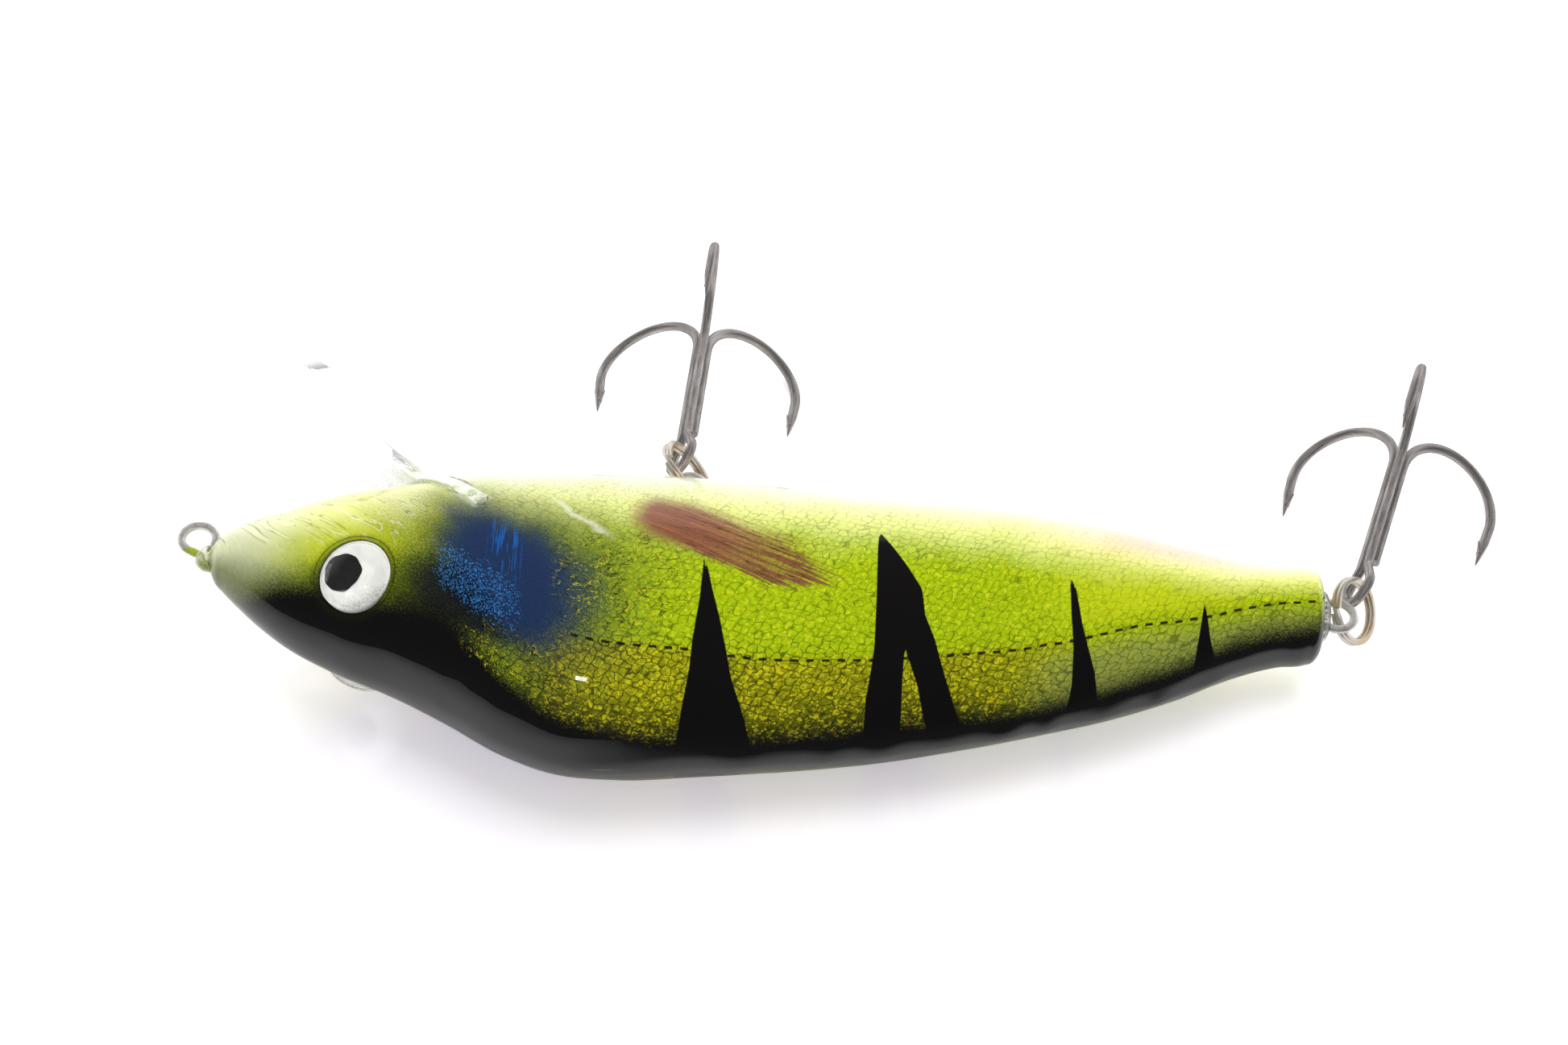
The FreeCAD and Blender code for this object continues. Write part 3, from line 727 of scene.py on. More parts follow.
def skin_marks(points, eyes):
    x, s, girth = flank_place(points)
    side = np.where(points[:, 2] >= 0, 1.0, -1.0)
    stripes = np.stack([outline_distance(x, s, c) for c in STRIPES])
    stripes[1] = np.maximum(stripes[1], -outline_distance(x, s, STRIPE_GAP))
    fin = outline_distance(x, s, FIN)
    gill = np.hypot((x - GILL_CENTRE[0]) / GILL_RADII[0], (s - GILL_CENTRE[1]) / GILL_RADII[1])
    black, line = (smooth_line(x, *np.array(rows).T)[0] for rows in (BACK_LINE, SIDE_LINE))
    root, out, normal = lip_axes()
    eye = np.full(len(x), 99.0)
    for centre, axis, _ in eyes:
        away = points - centre
        radial = np.linalg.norm(away - (away @ axis)[:, None] * axis, axis=1)
        eye = np.minimum(eye, np.where(away @ axis > -4, radial, 99.0))
    return {
        "skin": np.stack([x, s, side * 40], 1),
        "zones": np.stack([s - black, s - line, s / girth], 1),
        "marks": np.stack([stripes.min(0), fin, gill], 1),
        "eye": eye,
        "slot": np.stack([(points - root) @ normal, (points - root) @ out, x * 0], 1),
    }


def eye_places():
    """Centre of the foil's outer face, outward axis and direction to the tail, in lure mm."""
    places = []
    for word in ("right", "left"):
        points = stand_up(mesh_points(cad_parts[word + "_eye_disc"].data))
        middle = points.mean(0)
        axis = np.linalg.svd(points - middle)[2][2]
        if axis[2] * middle[2] < 0:
            axis = -axis
        along = unit(np.array([1.0, 0, 0]) - axis * axis[0])
        other = np.cross(axis, along)
        spans = [(points - middle) @ v for v in (axis, along, other)]
        mids = [(v.max() + v.min()) / 2 for v in spans]
        centre = middle + axis * spans[0].max() + along * mids[1] + other * mids[2]
        places.append((centre, axis, along))
    return places


def cut_eye_sockets(mesh, eyes):
    body = linked("skin_blank", mesh)
    cutters = []
    for centre, axis, along in eyes:
        points, faces = lathe(SOCKET_ROWS, centre, axis, along)
        tool_mesh = new_mesh("socket_tool", points, faces)
        face_outwards(tool_mesh)
        tool = linked("socket_tool", tool_mesh)
        cutters.append(tool)
        cut = body.modifiers.new("socket", "BOOLEAN")
        cut.operation, cut.solver, cut.object = "DIFFERENCE", "EXACT", tool
    depsgraph = bpy.context.evaluated_depsgraph_get()
    depsgraph.update()
    result = bpy.data.meshes.new_from_object(body.evaluated_get(depsgraph))
    for thing in (body, *cutters):
        bpy.data.objects.remove(thing)
    result.name = "painted_body"
    return result


def paint_look(paint):
    sh = Shader("foil_and_airbrush")
    skin = sh.mark("skin")
    x, s, _ = sh.split(skin)
    above_back, above_line, girth = sh.split(sh.mark("zones"))
    stripe, fin, gill = sh.split(sh.mark("marks"))
    eye = Number(sh, sh.mark("eye", "Fac"))
    spray = sh.noise(skin, 4.2, 1.0)
    dust = sh.noise(skin, 9.0, 0.0)
    cloud = sh.noise(skin, 0.16, 3.0)
    patch = sh.noise(skin, 0.5, 2.0)
    grain = (spray - 0.5) * 1.0 + (dust - 0.5) * 0.7

    # crackled foil scales
    bend = sh.add("ShaderNodeTexNoise", None, {"Vector": skin, "Scale": 0.9, "Detail": 1.0})
    shifted = sh.add("ShaderNodeVectorMath", {"operation": "MULTIPLY_ADD"}, {
        0: bend.outputs["Color"], 1: (1.1, 1.1, 0.0), 2: skin}).outputs[0]
    leaned = sh.add("ShaderNodeMapping", None, {
        "Vector": shifted, "Rotation": (0, 0, 0.45), "Scale": (0.72, 1.0, 1.0)}).outputs[0]
    count = 1.0 / paint.scale_size
    edge = Number(sh, sh.cells(leaned, count, "DISTANCE_TO_EDGE", 0.55)["Distance"])
    flake = sh.cells(leaned, count, "F1", 0.55)
    tone = sh.split(flake["Color"])[0]
    sparkle = sh.split(sh.cells(skin, 2.6)["Color"])[1]
    head = x.fall(26.0, 42.0)
    plain = 1.0 - head * 0.75 - x.fade(95.0, 118.0) * 0.4
    low_flank = above_line.fall(-1.0, 2.0)
    crack = (patch + dust * 0.5 + low_flank * 0.16).fade(0.50, 0.84) * plain
    crack = edge.fall(0.0, 0.085 + low_flank * 0.035) * crack
    fine = edge.fall(0.0, 0.13) * sh.noise(skin, 1.1, 2.0).fade(0.36, 0.60) * plain
    mottle = sh.noise(skin, 1.7, 4.0, 0.72)

    # base colours from the back to the belly
    above = above_back + grain * 3.0 + (cloud - 0.5) * 5.0
    rise = girth + (cloud - 0.5) * 0.10 + grain * 0.03 + x.fade(100.0, 140.0) * 0.09
    sh.tint = sh.mix(above.fade(0.5, 9.0), paint.olive, paint.gold)
    fleck = sh.split(sh.cells(skin, 3.6)["Color"])[0]
    sh.lay((fleck * 0.5 + mottle).fall(0.52, 0.86) * 0.4, "gold_shade")
    sh.lay((fleck * 0.7 + sparkle * 0.4 + tone * 0.3).fade(0.78, 1.12) * 0.85, "gold_flake")
    lime = (above_line + grain * 0.4).fade(-0.9, 1.3)
    lime = lime.highest(x.fall(39.0, 49.0)).highest(x.fade(98.0, 120.0) * 0.85)
    sh.lay(lime, paint.lime)
    sh.lay(mottle.fall(0.40, 0.54) * lime * 0.45, "lime_shade")
    sh.lay((mottle + (sparkle - 0.5) * 0.3).fade(0.54, 0.72) * 0.75, "lime_flake")
    sh.lay(x.fade(102.0, 122.0) * above_line.fade(0.0, 2.5) * 0.6, "tail_lime")
    sh.lay(rise.fade(0.49, 0.68) * 0.92, paint.pale)
    sh.lay(rise.fade(0.62, 0.86), paint.belly)
    # painted reflection: a greyish band between the side line and the back towards the tail
    haze = x.fade(103.0, 113.0) * above_line.fall(-3.6, 0.6)
    sh.lay(haze * (0.30 + dust.fade(0.35, 0.65) * 0.35), "tail_reflection")
    over = rise.fade(0.40, 0.52) * rise.fall(0.78, 0.90) * x.fall(58.0, 72.0)
    sh.lay((spray + dust * 0.6).fade(0.76, 0.96) * over * 0.5, "overspray")
    rough_x = x + grain * 4.0
    salmon = rough_x.fade(104.0, 122.0) * rough_x.fall(128.0, 145.0)
    salmon = salmon * (girth + grain * 0.04).fade(0.54, 0.70)
    sh.lay(salmon * 0.85, "salmon")
    blush = rough_x.fade(56.0, 68.0) * rough_x.fall(70.0, 88.0)
    blush = blush * (girth + grain * 0.02).fade(0.88, 0.985)
    sh.lay(blush * 0.8, "blush")
    shade = 1.0 - rise.fade(0.45, 0.80) * 0.62
    sh.lay(crack * shade * (1.0 - above_line.fade(-0.5, 4.0) * 0.40) * 0.9, "crack")
    sh.lay(fine * shade * 0.36, "fine_crack")

    # head: pale nose, and flow lines in the coat painted as a line of shade with a highlight
    # beside it
    crown = head * (girth + (cloud - 0.5) * 0.2)
    sh.lay(crown.fade(0.32, 0.44) * 0.6, "crown")
    sh.lay(crown.fade(0.44, 0.66) * 0.8, "crown_pale")
    nose = (x + grain * 5.0).fall(6.0, 18.0)
    sh.lay(nose * 0.75, sh.mix(girth.fade(0.1, 0.5), "nose_low", "nose_high"))
    flow = sh.noise(sh.scaled(skin, (0.05, 0.16, 0.1)), 1.0, 3.0, 0.55, 1.6)
    band = (flow * 9.0) % 1.0
    # painted shade along each flow line
    flow_shade_line = band.near(0.5, 0.0, 0.09)
    sh.lay(flow_shade_line * head * girth.fade(0.42, 0.56) * 0.6, "flow_shade")
    # painted highlight beside each flow line
    lit = band.near(0.66, 0.0, 0.11)
    sh.lay(lit * head * girth.fade(0.40, 0.54) * 0.7, "flow_highlight")
    # painted highlight: a pale streak in the coat behind the gill
    streak_off = (s - 37.0 + (x - 45.8) * 0.65 + (patch - 0.5) * 2.0).size()
    highlight_streak = streak_off.fall(0.0, 0.9) * x.fade(45.0, 47.5) * x.fall(52.0, 54.5)

    # gill patch
    reach = gill + (cloud - 0.5) * 0.5 + grain * 0.26
    dotted = (spray - 0.5) * 0.9 + (dust - 0.5) * 0.8

    def oval(x_middle, x_pull, s_middle, s_pull):
        away, up = x - x_middle, s - s_middle
        return away * away * x_pull + up * up * s_pull + dotted

    cheek = oval(30.5, 0.045, 14.5, 0.030)
    sh.lay(cheek.fall(0.1, 1.6) * 0.8, "cheek")
    sh.lay((reach + dotted).fall(0.6, 2.1) * 0.85, "gill_spray")
    sh.lay((reach + dotted * 0.5).fall(0.55, 1.20) * 0.97, paint.gill)
    soot = oval(34.5, 0.028, 16.5, 0.05)
    sh.lay(soot.fall(0.2, 1.5) * 0.85, "soot")
    corner = ((x - 41.0) * 0.5 + (s - 22.0) * 0.8 + grain * 3.0).fade(-8.5, -1.0)
    inner = reach.fall(0.75, 1.35)
    sh.lay((1.0 - corner) * inner * 0.85, "gill_corner")
    sh.lay((dust + spray * 0.5).fade(0.72, 0.95) * inner * 0.5, "gill_dust")
    stroke = sh.noise(sh.scaled(skin, (2.9, 0.20, 1.0)), 1.0, 3.0, 0.65).fade(0.52, 0.62)
    stroke = stroke * x.near(40.4, 0.35, 1.0, 0.36) * s.near(27.2, 0.4, 1.0, 0.19)
    sh.lay(stroke * 0.8, "gill_stroke")
    bits = sh.split(sh.cells(skin, 8.5)["Color"])[2]
    low = x.near(37.0, 0.35, 1.0, 0.12) * s.near(19.8, 0.35, 1.0, 0.20)
    bits = bits + low * 0.33 + inner * 0.09 + (patch - 0.5) * 0.3
    sh.lay(bits.fade(1.17, 1.23) * 0.85, paint.glitter)
    # the painted highlight streak
    sh.lay(highlight_streak * 0.6, "highlight_streak")

    # brushed fin
    lengthwise = x * 0.887 - s * 0.462
    crosswise = x * 0.462 + s * 0.887
    hair = sh.noise(sh.vector(lengthwise * 0.10, crosswise * 2.4), 1.0, 3.0, 0.6)
    broad = sh.noise(sh.vector(lengthwise * 0.05, crosswise * 0.7), 1.0, 2.0, 0.5)
    tip = x.fade(62.0, 80.0)
    blown = x.fall(56.0, 66.0).highest((crosswise - 58.5).fade(0.0, 2.0))
    fringe = fin + (hair - 0.5) * (1.2 + tip * 5.0) + grain * blown * 1.6
    inside = fringe.fall(-0.7 - blown * 1.6, 0.35 + blown * 1.0)
    sh.lay(inside * (0.95 - tip * hair.fade(0.40, 0.60) * 0.55), paint.fin)
    sh.lay(broad.fade(0.45, 0.62) * inside * 0.3, "fin_light")
    dark_hair = hair.near(0.45, 0.0, 0.028) * inside * x.fade(57.0, 66.0)
    sh.lay(dark_hair * 0.85, "fin_hair")
    light_hair = hair.fade(0.58, 0.68) * inside * (1.0 - tip * 0.6)
    sh.lay(light_hair * 0.35, "fin_gloss")

    # side line, back, stripes and painted shade round the eye and in the crease at its rim
    run = (x / paint.dash_pitch) % 1.0
    dash = run.near(0.5, 0.22, 0.28) * x.fade(48.0, 50.0)
    dash = dash * (above_line + (patch - 0.5) * 0.4).size().fall(0.12, 0.23)
    sh.lay(dash * 0.95, "dash")
    dark = (above_back + grain * 3.2 + (cloud - 0.5) * 2.0).fall(-0.6, 4.4 + head * 2.2)
    sh.lay(dark, paint.back)
    ink = (stripe + (dust - 0.5) * 0.12).fall(-0.07, 0.07)
    sh.lay(ink, paint.back)
    # painted shade round the eye socket and in the crease at its rim
    shade_round_eye = (eye + grain * 0.9).fall(4.8, 6.4) * 0.5
    socket_shade = eye.near(5.35, 0.05, 0.16) * 0.75
    sh.lay(shade_round_eye.highest(socket_shade), "socket_shade")

    # the slot of the lip, with a painted shadow line in the gap beside the plate
    depth, down, _ = sh.split(sh.mark("slot"))
    throat = girth.fade(0.5, 0.6) * x.fall(44.0, 46.0)
    # painted shadow in the gap beside the plate's face
    slot_shadow_line = (depth - LIP_THICK / 2 - 0.12).size().fall(0.08, 0.24) * down.fade(0.2, 2.2) * throat
    sh.lay(slot_shadow_line * 0.85, "slot_shadow")
    milk = (depth.size() - LIP_THICK / 2).fall(0.05, 0.9 + grain) * (1.0 - slot_shadow_line)
    sh.lay(milk * down.fade(-0.7, 0.2) * throat * 0.55, "slot_milk")

    # wrinkles of the foil beside and below the gill, with painted shade in the folds and painted
    # glints on the wrinkles
    cover = ink.highest(dark)
    foil = (1.0 - cover) * rise.fall(0.55, 0.8)
    relief = (1.0 - crack) * 0.6 + tone * 0.25 + fine * -0.2
    wrinkle = sh.noise(sh.scaled(skin, (0.22, 0.42, 1.0)), 1.0, 4.0, 0.62, 1.4)
    beside = x.near(55.0, 0.3, 1.0, 0.08) * s.near(26.0, 0.3, 1.0, 0.11)
    below = x.near(42.5, 0.3, 1.0, 0.10) * s.near(13.5, 0.3, 1.0, 0.22)
    by_gill = beside.highest(below)
    # painted shade along the folds
    fold_shade = wrinkle.near(0.5, 0.0, 0.022) * by_gill.fade(0.25, 0.7)
    sh.lay(fold_shade * (patch + dust * 0.4).fade(0.55, 0.8) * 0.9, "fold_shade")
    # painted glints on the wrinkles
    glint = wrinkle.near(0.53, 0.0, 0.02) * by_gill.fade(0.3, 0.8)
    sh.lay(glint * mottle.fade(0.46, 0.56) * 0.8, "glint")
    height = relief * (1.0 - cover * 0.85) + fold_shade * 1.5
    return sh.finish(sh.surface(
        Base_Color=sh.tint, Metallic=foil * 0.35, Roughness=0.34 + cover * 0.2 + spray * 0.1,
        Specular_IOR_Level=0.08, Normal=sh.bump(height, 0.07, 0.7), Coat_Weight=1.0,
        Coat_Roughness=0.02, Coat_IOR=1.5))


# ---- lip and epoxy ----
def lip_axes():
    out = np.array([-math.cos(LIP_ANGLE), math.sin(LIP_ANGLE), 0.0])
    return np.array([*LIP_ROOT, 0.0]), out, np.array([out[1], -out[0], 0.0])


def flank_reach(along):
    """Half thickness of the body where the lip's middle plane is this far from its root."""
    root, out, _ = lip_axes()
    here = root + out * along
    middle, high, half = cross_section(here[0])
    height = (here[1] - middle) / high
    return half * math.sqrt(max(0.0, 1.0 - height * height))


def lip_outline():
    """(along, across) of one side, root to tip, on a smooth curve."""
    rows = [(s * LIP_LENGTH, w * LIP_WIDTH / 2) for s, w in LIP_OUTLINE]
    rows[0] = (0.0, LIP_ROOT_W / 2)
    rows.append((LIP_LENGTH, 0.0))
    buried = [(a, flank_reach(a) + ROOT_PAST_FLANK)
              for a in np.linspace(0.0, ROOT_DEPTH, ROOT_ROWS)]
    buried = [(a, w) for a, w in buried if w > np.interp(a, *zip(*rows))]
    rows = buried + [r for r in rows if r[0] > buried[-1][0] + 0.5]
    pts = np.array(rows)
    mirrored = np.concatenate([pts, (pts * [1, -1])[-2:-4:-1]])
    at = distances(mirrored)
    slope = np.gradient(mirrored, at, axis=0)
    slope[0] = (1.0, 0.0)
    out = []
    for i in range(len(pts) - 1):
        span = at[i + 1] - at[i]
        for t in np.linspace(0, 1, 12, endpoint=False):
            out.append(hermite(mirrored, slope, i, span, t))
    return out + [pts[-1]]


def lip_mesh():
    """The plate with softened rims."""
    root, out, normal = lip_axes()
    side = lip_outline()
    outline = side + [np.array([a, -w]) for a, w in side[-2::-1]]
    bm = bmesh.new()
    ring = []
    for a, w in outline:
        p = root + out * a - normal * (LIP_THICK / 2) + np.array([0, 0, w])
        ring.append(bm.verts.new(p))
    base = bm.faces.new(ring)
    top = bmesh.ops.extrude_face_region(bm, geom=[base])["geom"]
    moved = [v for v in top if isinstance(v, bmesh.types.BMVert)]
    bmesh.ops.translate(bm, verts=moved, vec=Vector(normal * LIP_THICK))
    rims = [e for e in bm.edges if e.is_boundary or e.calc_face_angle(0) > 1.0]
    bmesh.ops.bevel(bm, geom=rims, offset=LIP_RIM, segments=LIP_BEVEL_STEPS, affect="EDGES",
                    profile=0.5)
    bmesh.ops.recalc_face_normals(bm, faces=bm.faces)
    mesh = bpy.data.meshes.new("clear_lip")
    bm.to_mesh(mesh)
    bm.free()
    points = mesh_points(mesh)
    away = points - root
    add_marks(mesh, {"plate": np.stack([away @ out, points[:, 2], away @ normal], 1)})
    mesh.vertices.foreach_set("co", lay_down(points).ravel())
    mesh.update()
    return mesh


def lip_look(clear):
    sh = Shader("clear_lip")
    plate = sh.mark("plate")
    along = sh.split(plate)[0]
    wisps = sh.noise(sh.scaled(plate, (0.22, 0.8, 0.8)), 1.0, 3.0, 0.55, 0.8)
    grain = sh.noise(plate, 5.0, 2.0)
    cloudy = sh.noise(plate, 0.35, 3.0)
    tint = sh.mix(wisps.fade(0.5, 0.7) * (1.0 - along.fade(18.0, 27.0)) * 0.5,
                  clear.lip_tint, srgb(206, 214, 236))
    clear_part = sh.surface(
        Base_Color=tint, Transmission_Weight=1.0, IOR=LIP_IOR,
        Roughness=0.015 + cloudy.fade(0.5, 0.8) * 0.08,
        Normal=sh.bump(wisps + grain * 0.03, 0.12, 0.5))
    milky = sh.mix((cloudy + wisps).fade(0.95, 1.25), srgb(236, 242, 226), clear.lip_bleed)
    paint = sh.surface(
        Base_Color=sh.mix(grain.fade(0.6, 0.75) * 0.3, milky, srgb(140, 158, 40)),
        Roughness=0.3, Normal=sh.bump(wisps, 0.15, 0.7), Coat_Weight=1.0, Coat_Roughness=0.03)
    cover = (1.0 - (along + (wisps - 0.5) * 14.0 + grain * 2.0).fade(12.5, 21.0)) * 0.8
    return sh.finish(sh.blend(cover, clear_part, paint))


def inside_body(point):
    middle, high, half = cross_section(point[0])
    return ((point[1] - middle) / high) ** 2 + (point[2] / half) ** 2 < 1.0


def throat_crossing(offset, across):
    """Where a line along the lip leaves the body."""
    root, out, normal = lip_axes()
    start = root + normal * offset + np.array([0, 0, across])
    low, high = 0.0, LIP_LENGTH
    if not inside_body(start):
        return start
    for _ in range(30):
        middle = (low + high) / 2
        if inside_body(start + out * middle):
            low = middle
        else:
            high = middle
    return start + out * low


def throat_bead_mesh():
    """Epoxy run along both faces of the lip where it enters its slot."""
    reach = 0.5 * LIP_ROOT_W + 0.4
    parts = []
    for offset in (-LIP_THICK / 2 - 0.05, LIP_THICK / 2 + 0.05):
        line = [throat_crossing(offset, w) for w in np.linspace(-reach, reach, 90)]
        path = even_steps(np.array(line), 0.25)
        lumps = ripple(path, 1.6, offset)
        radii = (0.42 + 0.16 * lumps) * from_ends(len(path), 5, 0.15)
        parts.append(sweep(path, radii, 12))
    root, out, _ = lip_axes()
    for side in (1, -1):
        for step, radius in ((0.3, 0.85), (1.9, 0.70)):
            centre = root + out * step + np.array([0, 0, side * (flank_reach(step) + 0.05)])
            points, faces = lathe(ball_rows(radius, 14), centre, (0, 0.3, side), out, 28)
            points = points + unit((0, .3, side)) * (0.06 * ripple(points, 0.8, 2.0))[:, None]
            parts.append((points, faces, points - centre))
    return joined_mesh("throat_epoxy", parts)


def epoxy_look(name, tint, stain, amount):
    """Cured clear epoxy with specks and a stain of paint in it."""
    sh = Shader(name)
    where = sh.place()
    haze = sh.noise(where, 0.9, 3.0, 0.6)
    specks = sh.noise(where, 4.0, 2.0)
    mixed = sh.mix(haze.fade(0.42, 0.62) * amount, tint, stain)
    glass = sh.surface(
        Base_Color=mixed, Transmission_Weight=1.0, IOR=1.5, Roughness=0.02 + specks * 0.06,
        Normal=sh.bump(haze, 0.08, 0.6))
    solid = sh.surface(Base_Color=mixed, Roughness=0.25, Coat_Weight=1.0, Coat_Roughness=0.03,
                       Normal=sh.bump(haze, 0.08, 0.6))
    return sh.finish(sh.blend(haze.fade(0.35, 0.75) * amount, glass, solid))


def nose_bead_mesh():
    inward = np.array([math.cos(TIE_DIRECTION), math.sin(TIE_DIRECTION), 0.0])
    centre = inward * (TIE_LEG - NOSE_BEAD_BACK)
    rows = ball_rows(NOSE_BEAD_R, 26)
    points, faces = lathe(rows, centre, inward, (0, 0, 1), 48)
    outward = points - centre
    outward /= np.linalg.norm(outward, axis=1)[:, None]
    points = points + outward * (0.16 * ripple(points, 1.1, 5.0))[:, None]
    return new_mesh("nose_epoxy", points, faces)


def tail_collar_mesh():
    x = NOSE_X + BODY_LENGTH
    centre = np.array([x - 0.05, AXIS_Y - 0.2, 0.0])
    steps = np.linspace(0, len(COLLAR_ROWS) - 1, 46)
    rows = zip(*(np.interp(steps, range(len(COLLAR_ROWS)), column)
                 for column in zip(*COLLAR_ROWS)))
    points, faces = lathe(rows, centre, (1, 0, 0), (0, 1, 0), 72)
    away = points - centre
    away[:, 0] = 0
    wobble = ripple(points, 1.5, 8.0) * np.clip(np.linalg.norm(away, axis=1) / 3.4, 0, 1)
    points = points + away * (0.05 * wobble)[:, None]
    points[:, 0] += 0.10 * ripple(points, 0.9, 1.0) * (points[:, 0] > centre[0] + 0.2) - 0.05
    return new_mesh("tail_epoxy", points, faces)


# ---- wires ----
def loop_arc(centre, inward, across, radius, neck):
    """Corners of the round part of a wire loop that opens at the neck's angle."""
    step = (2 * math.pi - 2 * neck) / 3
    reach = radius / math.cos(step / 2)
    return [(centre + inward * reach * math.cos(a) + across * reach * math.sin(a), radius * 0.985)
            for a in (neck + step * (i + 0.5) for i in range(3))]


def loop_corners(centre, inward):
    across = np.array([-inward[1], inward[0], 0.0])
    run = (LOOP_R * math.sin(NECK_ANGLE) - LEG_GAP / 2) / math.cos(NECK_ANGLE)
    neck = LOOP_R * math.cos(NECK_ANGLE) + run * math.sin(NECK_ANGLE)
    return [(centre + inward * neck + across * LEG_GAP / 2, NECK_BEND),
            *loop_arc(centre, inward, across, LOOP_R, NECK_ANGLE),
            (centre + inward * neck - across * LEG_GAP / 2, NECK_BEND)]


def through_wire_path():
    half = LEG_GAP / 2
    tail = np.array([NOSE_X + BODY_LENGTH + TAIL_LOOP_OUT - WIRE_R - LOOP_R, AXIS_Y, 0.0])
    inward = np.array([math.cos(TIE_DIRECTION), math.sin(TIE_DIRECTION), 0.0])
    across = np.array([-inward[1], inward[0], 0.0])
    turn = math.tan(-TIE_DIRECTION / 2)
    upper = inward * TIE_LEG + across * half - inward * half * turn
    lower = inward * TIE_LEG - across * half + inward * half * turn
    straight = unit((1, (tail[1] + half - upper[1]) / (tail[0] - upper[0]), 0))
    corners = [(lower + straight * SHORT_LEG, 0), (lower, TIE_BEND + LEG_GAP)]
    corners += loop_corners(np.zeros(3), inward)[::-1] + [(upper, TIE_BEND)]
    corners += loop_corners(tail, np.array([-1.0, 0, 0]))[::-1]
    corners += [(np.array([tail[0] - TAIL_RETURN, tail[1] - half, 0]), 0)]
    return rounded_path(corners, WIRE_STEP)


def hanger_path():
    belly = float(body_sizes(BELLY_X)[0])
    centre = np.array([BELLY_X, belly + BELLY_LOOP_OUT - WIRE_R - LOOP_R, 0.0])
    loop = loop_corners(centre, np.array([0, -1.0, 0]))
    down = np.array([0, HANGER_LEG, 0])
    return rounded_path([(loop[0][0] - down, 0), *loop, (loop[-1][0] - down, 0)], WIRE_STEP)


def node_tree(name, inputs):
    """A geometry tree with a geometry input and output and the named number inputs."""
    tree = bpy.data.node_groups.new(name, "GeometryNodeTree")
    tree.interface.new_socket("Geometry", in_out="INPUT", socket_type="NodeSocketGeometry")
    for label, kind, default in inputs:
        item = tree.interface.new_socket(label, in_out="INPUT", socket_type="NodeSocket" + kind)
        if default is not None:
            item.default_value = default
    tree.interface.new_socket("Geometry", in_out="OUTPUT", socket_type="NodeSocketGeometry")
    return tree


class Geo(Nodes):
    """Adds nodes to a geometry tree and gives their outputs."""

    def __init__(self, tree):
        super().__init__(tree)
        self.given = tree.nodes.new("NodeGroupInput").outputs

    def add(self, kind, settings=None, values=None):
        return super().add(kind, settings, values).outputs

    def calc(self, operation, *values):
        return self.add("ShaderNodeMath", {"operation": operation}, dict(enumerate(values)))[0]

    def do(self, kind, settings=None, **values):
        """The first output of a geometry node; underscores stand for spaces."""
        return self.add("GeometryNode" + kind, settings,
                        {k.replace("_", " "): v for k, v in values.items()})[0]

    def finish(self, geometry):
        smooth = self.do("SetShadeSmooth", Geometry=geometry)
        done = self.do("SetMaterial", Geometry=self.do("RealizeInstances", Geometry=smooth),
                       Material=self.given["Material"])
        self.tree.links.new(done, self.tree.nodes.new("NodeGroupOutput").inputs[0])
        return self.tree


def wire_tree():
    """Sweeps a round wire along a line of edges; the thick attribute swells it."""
    tree = node_tree("round_wire", [("Radius", "Float", WIRE_R * MM), ("Sides", "Int", WIRE_SIDES),
                                    ("Material", "Material", None)])
    g = Geo(tree)
    line = g.do("MeshToCurve", Mesh=g.given["Geometry"])
    thick = g.do("InputNamedAttribute", {"data_type": "FLOAT"}, Name="thick")
    line = g.do("SetCurveRadius", Curve=line, Radius=thick)
    ring = g.do("CurvePrimitiveCircle", Resolution=g.given["Sides"], Radius=g.given["Radius"])
    return g.finish(g.do("CurveToMesh", Curve=line, Profile_Curve=ring, Scale=thick,
                         Fill_Caps=True))


def ring_tree():
    """Two flat turns of wire side by side, with the step where one passes to the other."""
    tree = node_tree("split_ring", [
        ("Radius", "Float", RING_R * MM), ("Strand width", "Float", STRAND_R * MM),
        ("Strand height", "Float", STRAND_T * MM), ("Turns", "Float", 2.0),
        ("Gap", "Float", TURN_GAP * MM), ("Points", "Int", 260), ("Material", "Material", None)])
    g = Geo(tree)
    line = g.do("CurvePrimitiveLine", End=(0.001, 0, 0))
    line = g.do("ResampleCurve", Curve=line, Count=g.given["Points"])
    share = g.add("GeometryNodeSplineParameter")["Factor"]
    turn = g.calc("MULTIPLY", g.calc("MULTIPLY", share, g.given["Turns"]), 2 * math.pi)
    across = g.calc("MULTIPLY", g.calc("COSINE", turn), g.given["Radius"])
    up = g.calc("MULTIPLY", g.calc("SINE", turn), g.given["Radius"])
    step = g.add("ShaderNodeMapRange", {"interpolation_type": "SMOOTHSTEP"}, {
        "Value": share, "From Min": 0.455, "From Max": 0.545, "To Min": -0.5, "To Max": 0.5})
    pitch = g.calc("ADD", g.given["Strand height"], g.given["Gap"])
    place = g.add("ShaderNodeCombineXYZ", None, {
        0: across, 1: up, 2: g.calc("MULTIPLY", step[0], pitch)})[0]
    line = g.do("SetPosition", Geometry=line, Position=place)
    line = g.do("SetCurveNormal", {"mode": "Z_UP"}, Curve=line)
    section = g.do("CurvePrimitiveQuadrilateral", {"mode": "RECTANGLE"},
                   Width=g.given["Strand width"], Height=g.given["Strand height"])
    section = g.do("FilletCurve", {"mode": "POLY"}, Curve=section, Count=5,
                   Radius=STRAND_EDGE * MM, Limit_Radius=True)
    return g.finish(g.do("CurveToMesh", Curve=line, Profile_Curve=section, Fill_Caps=True))


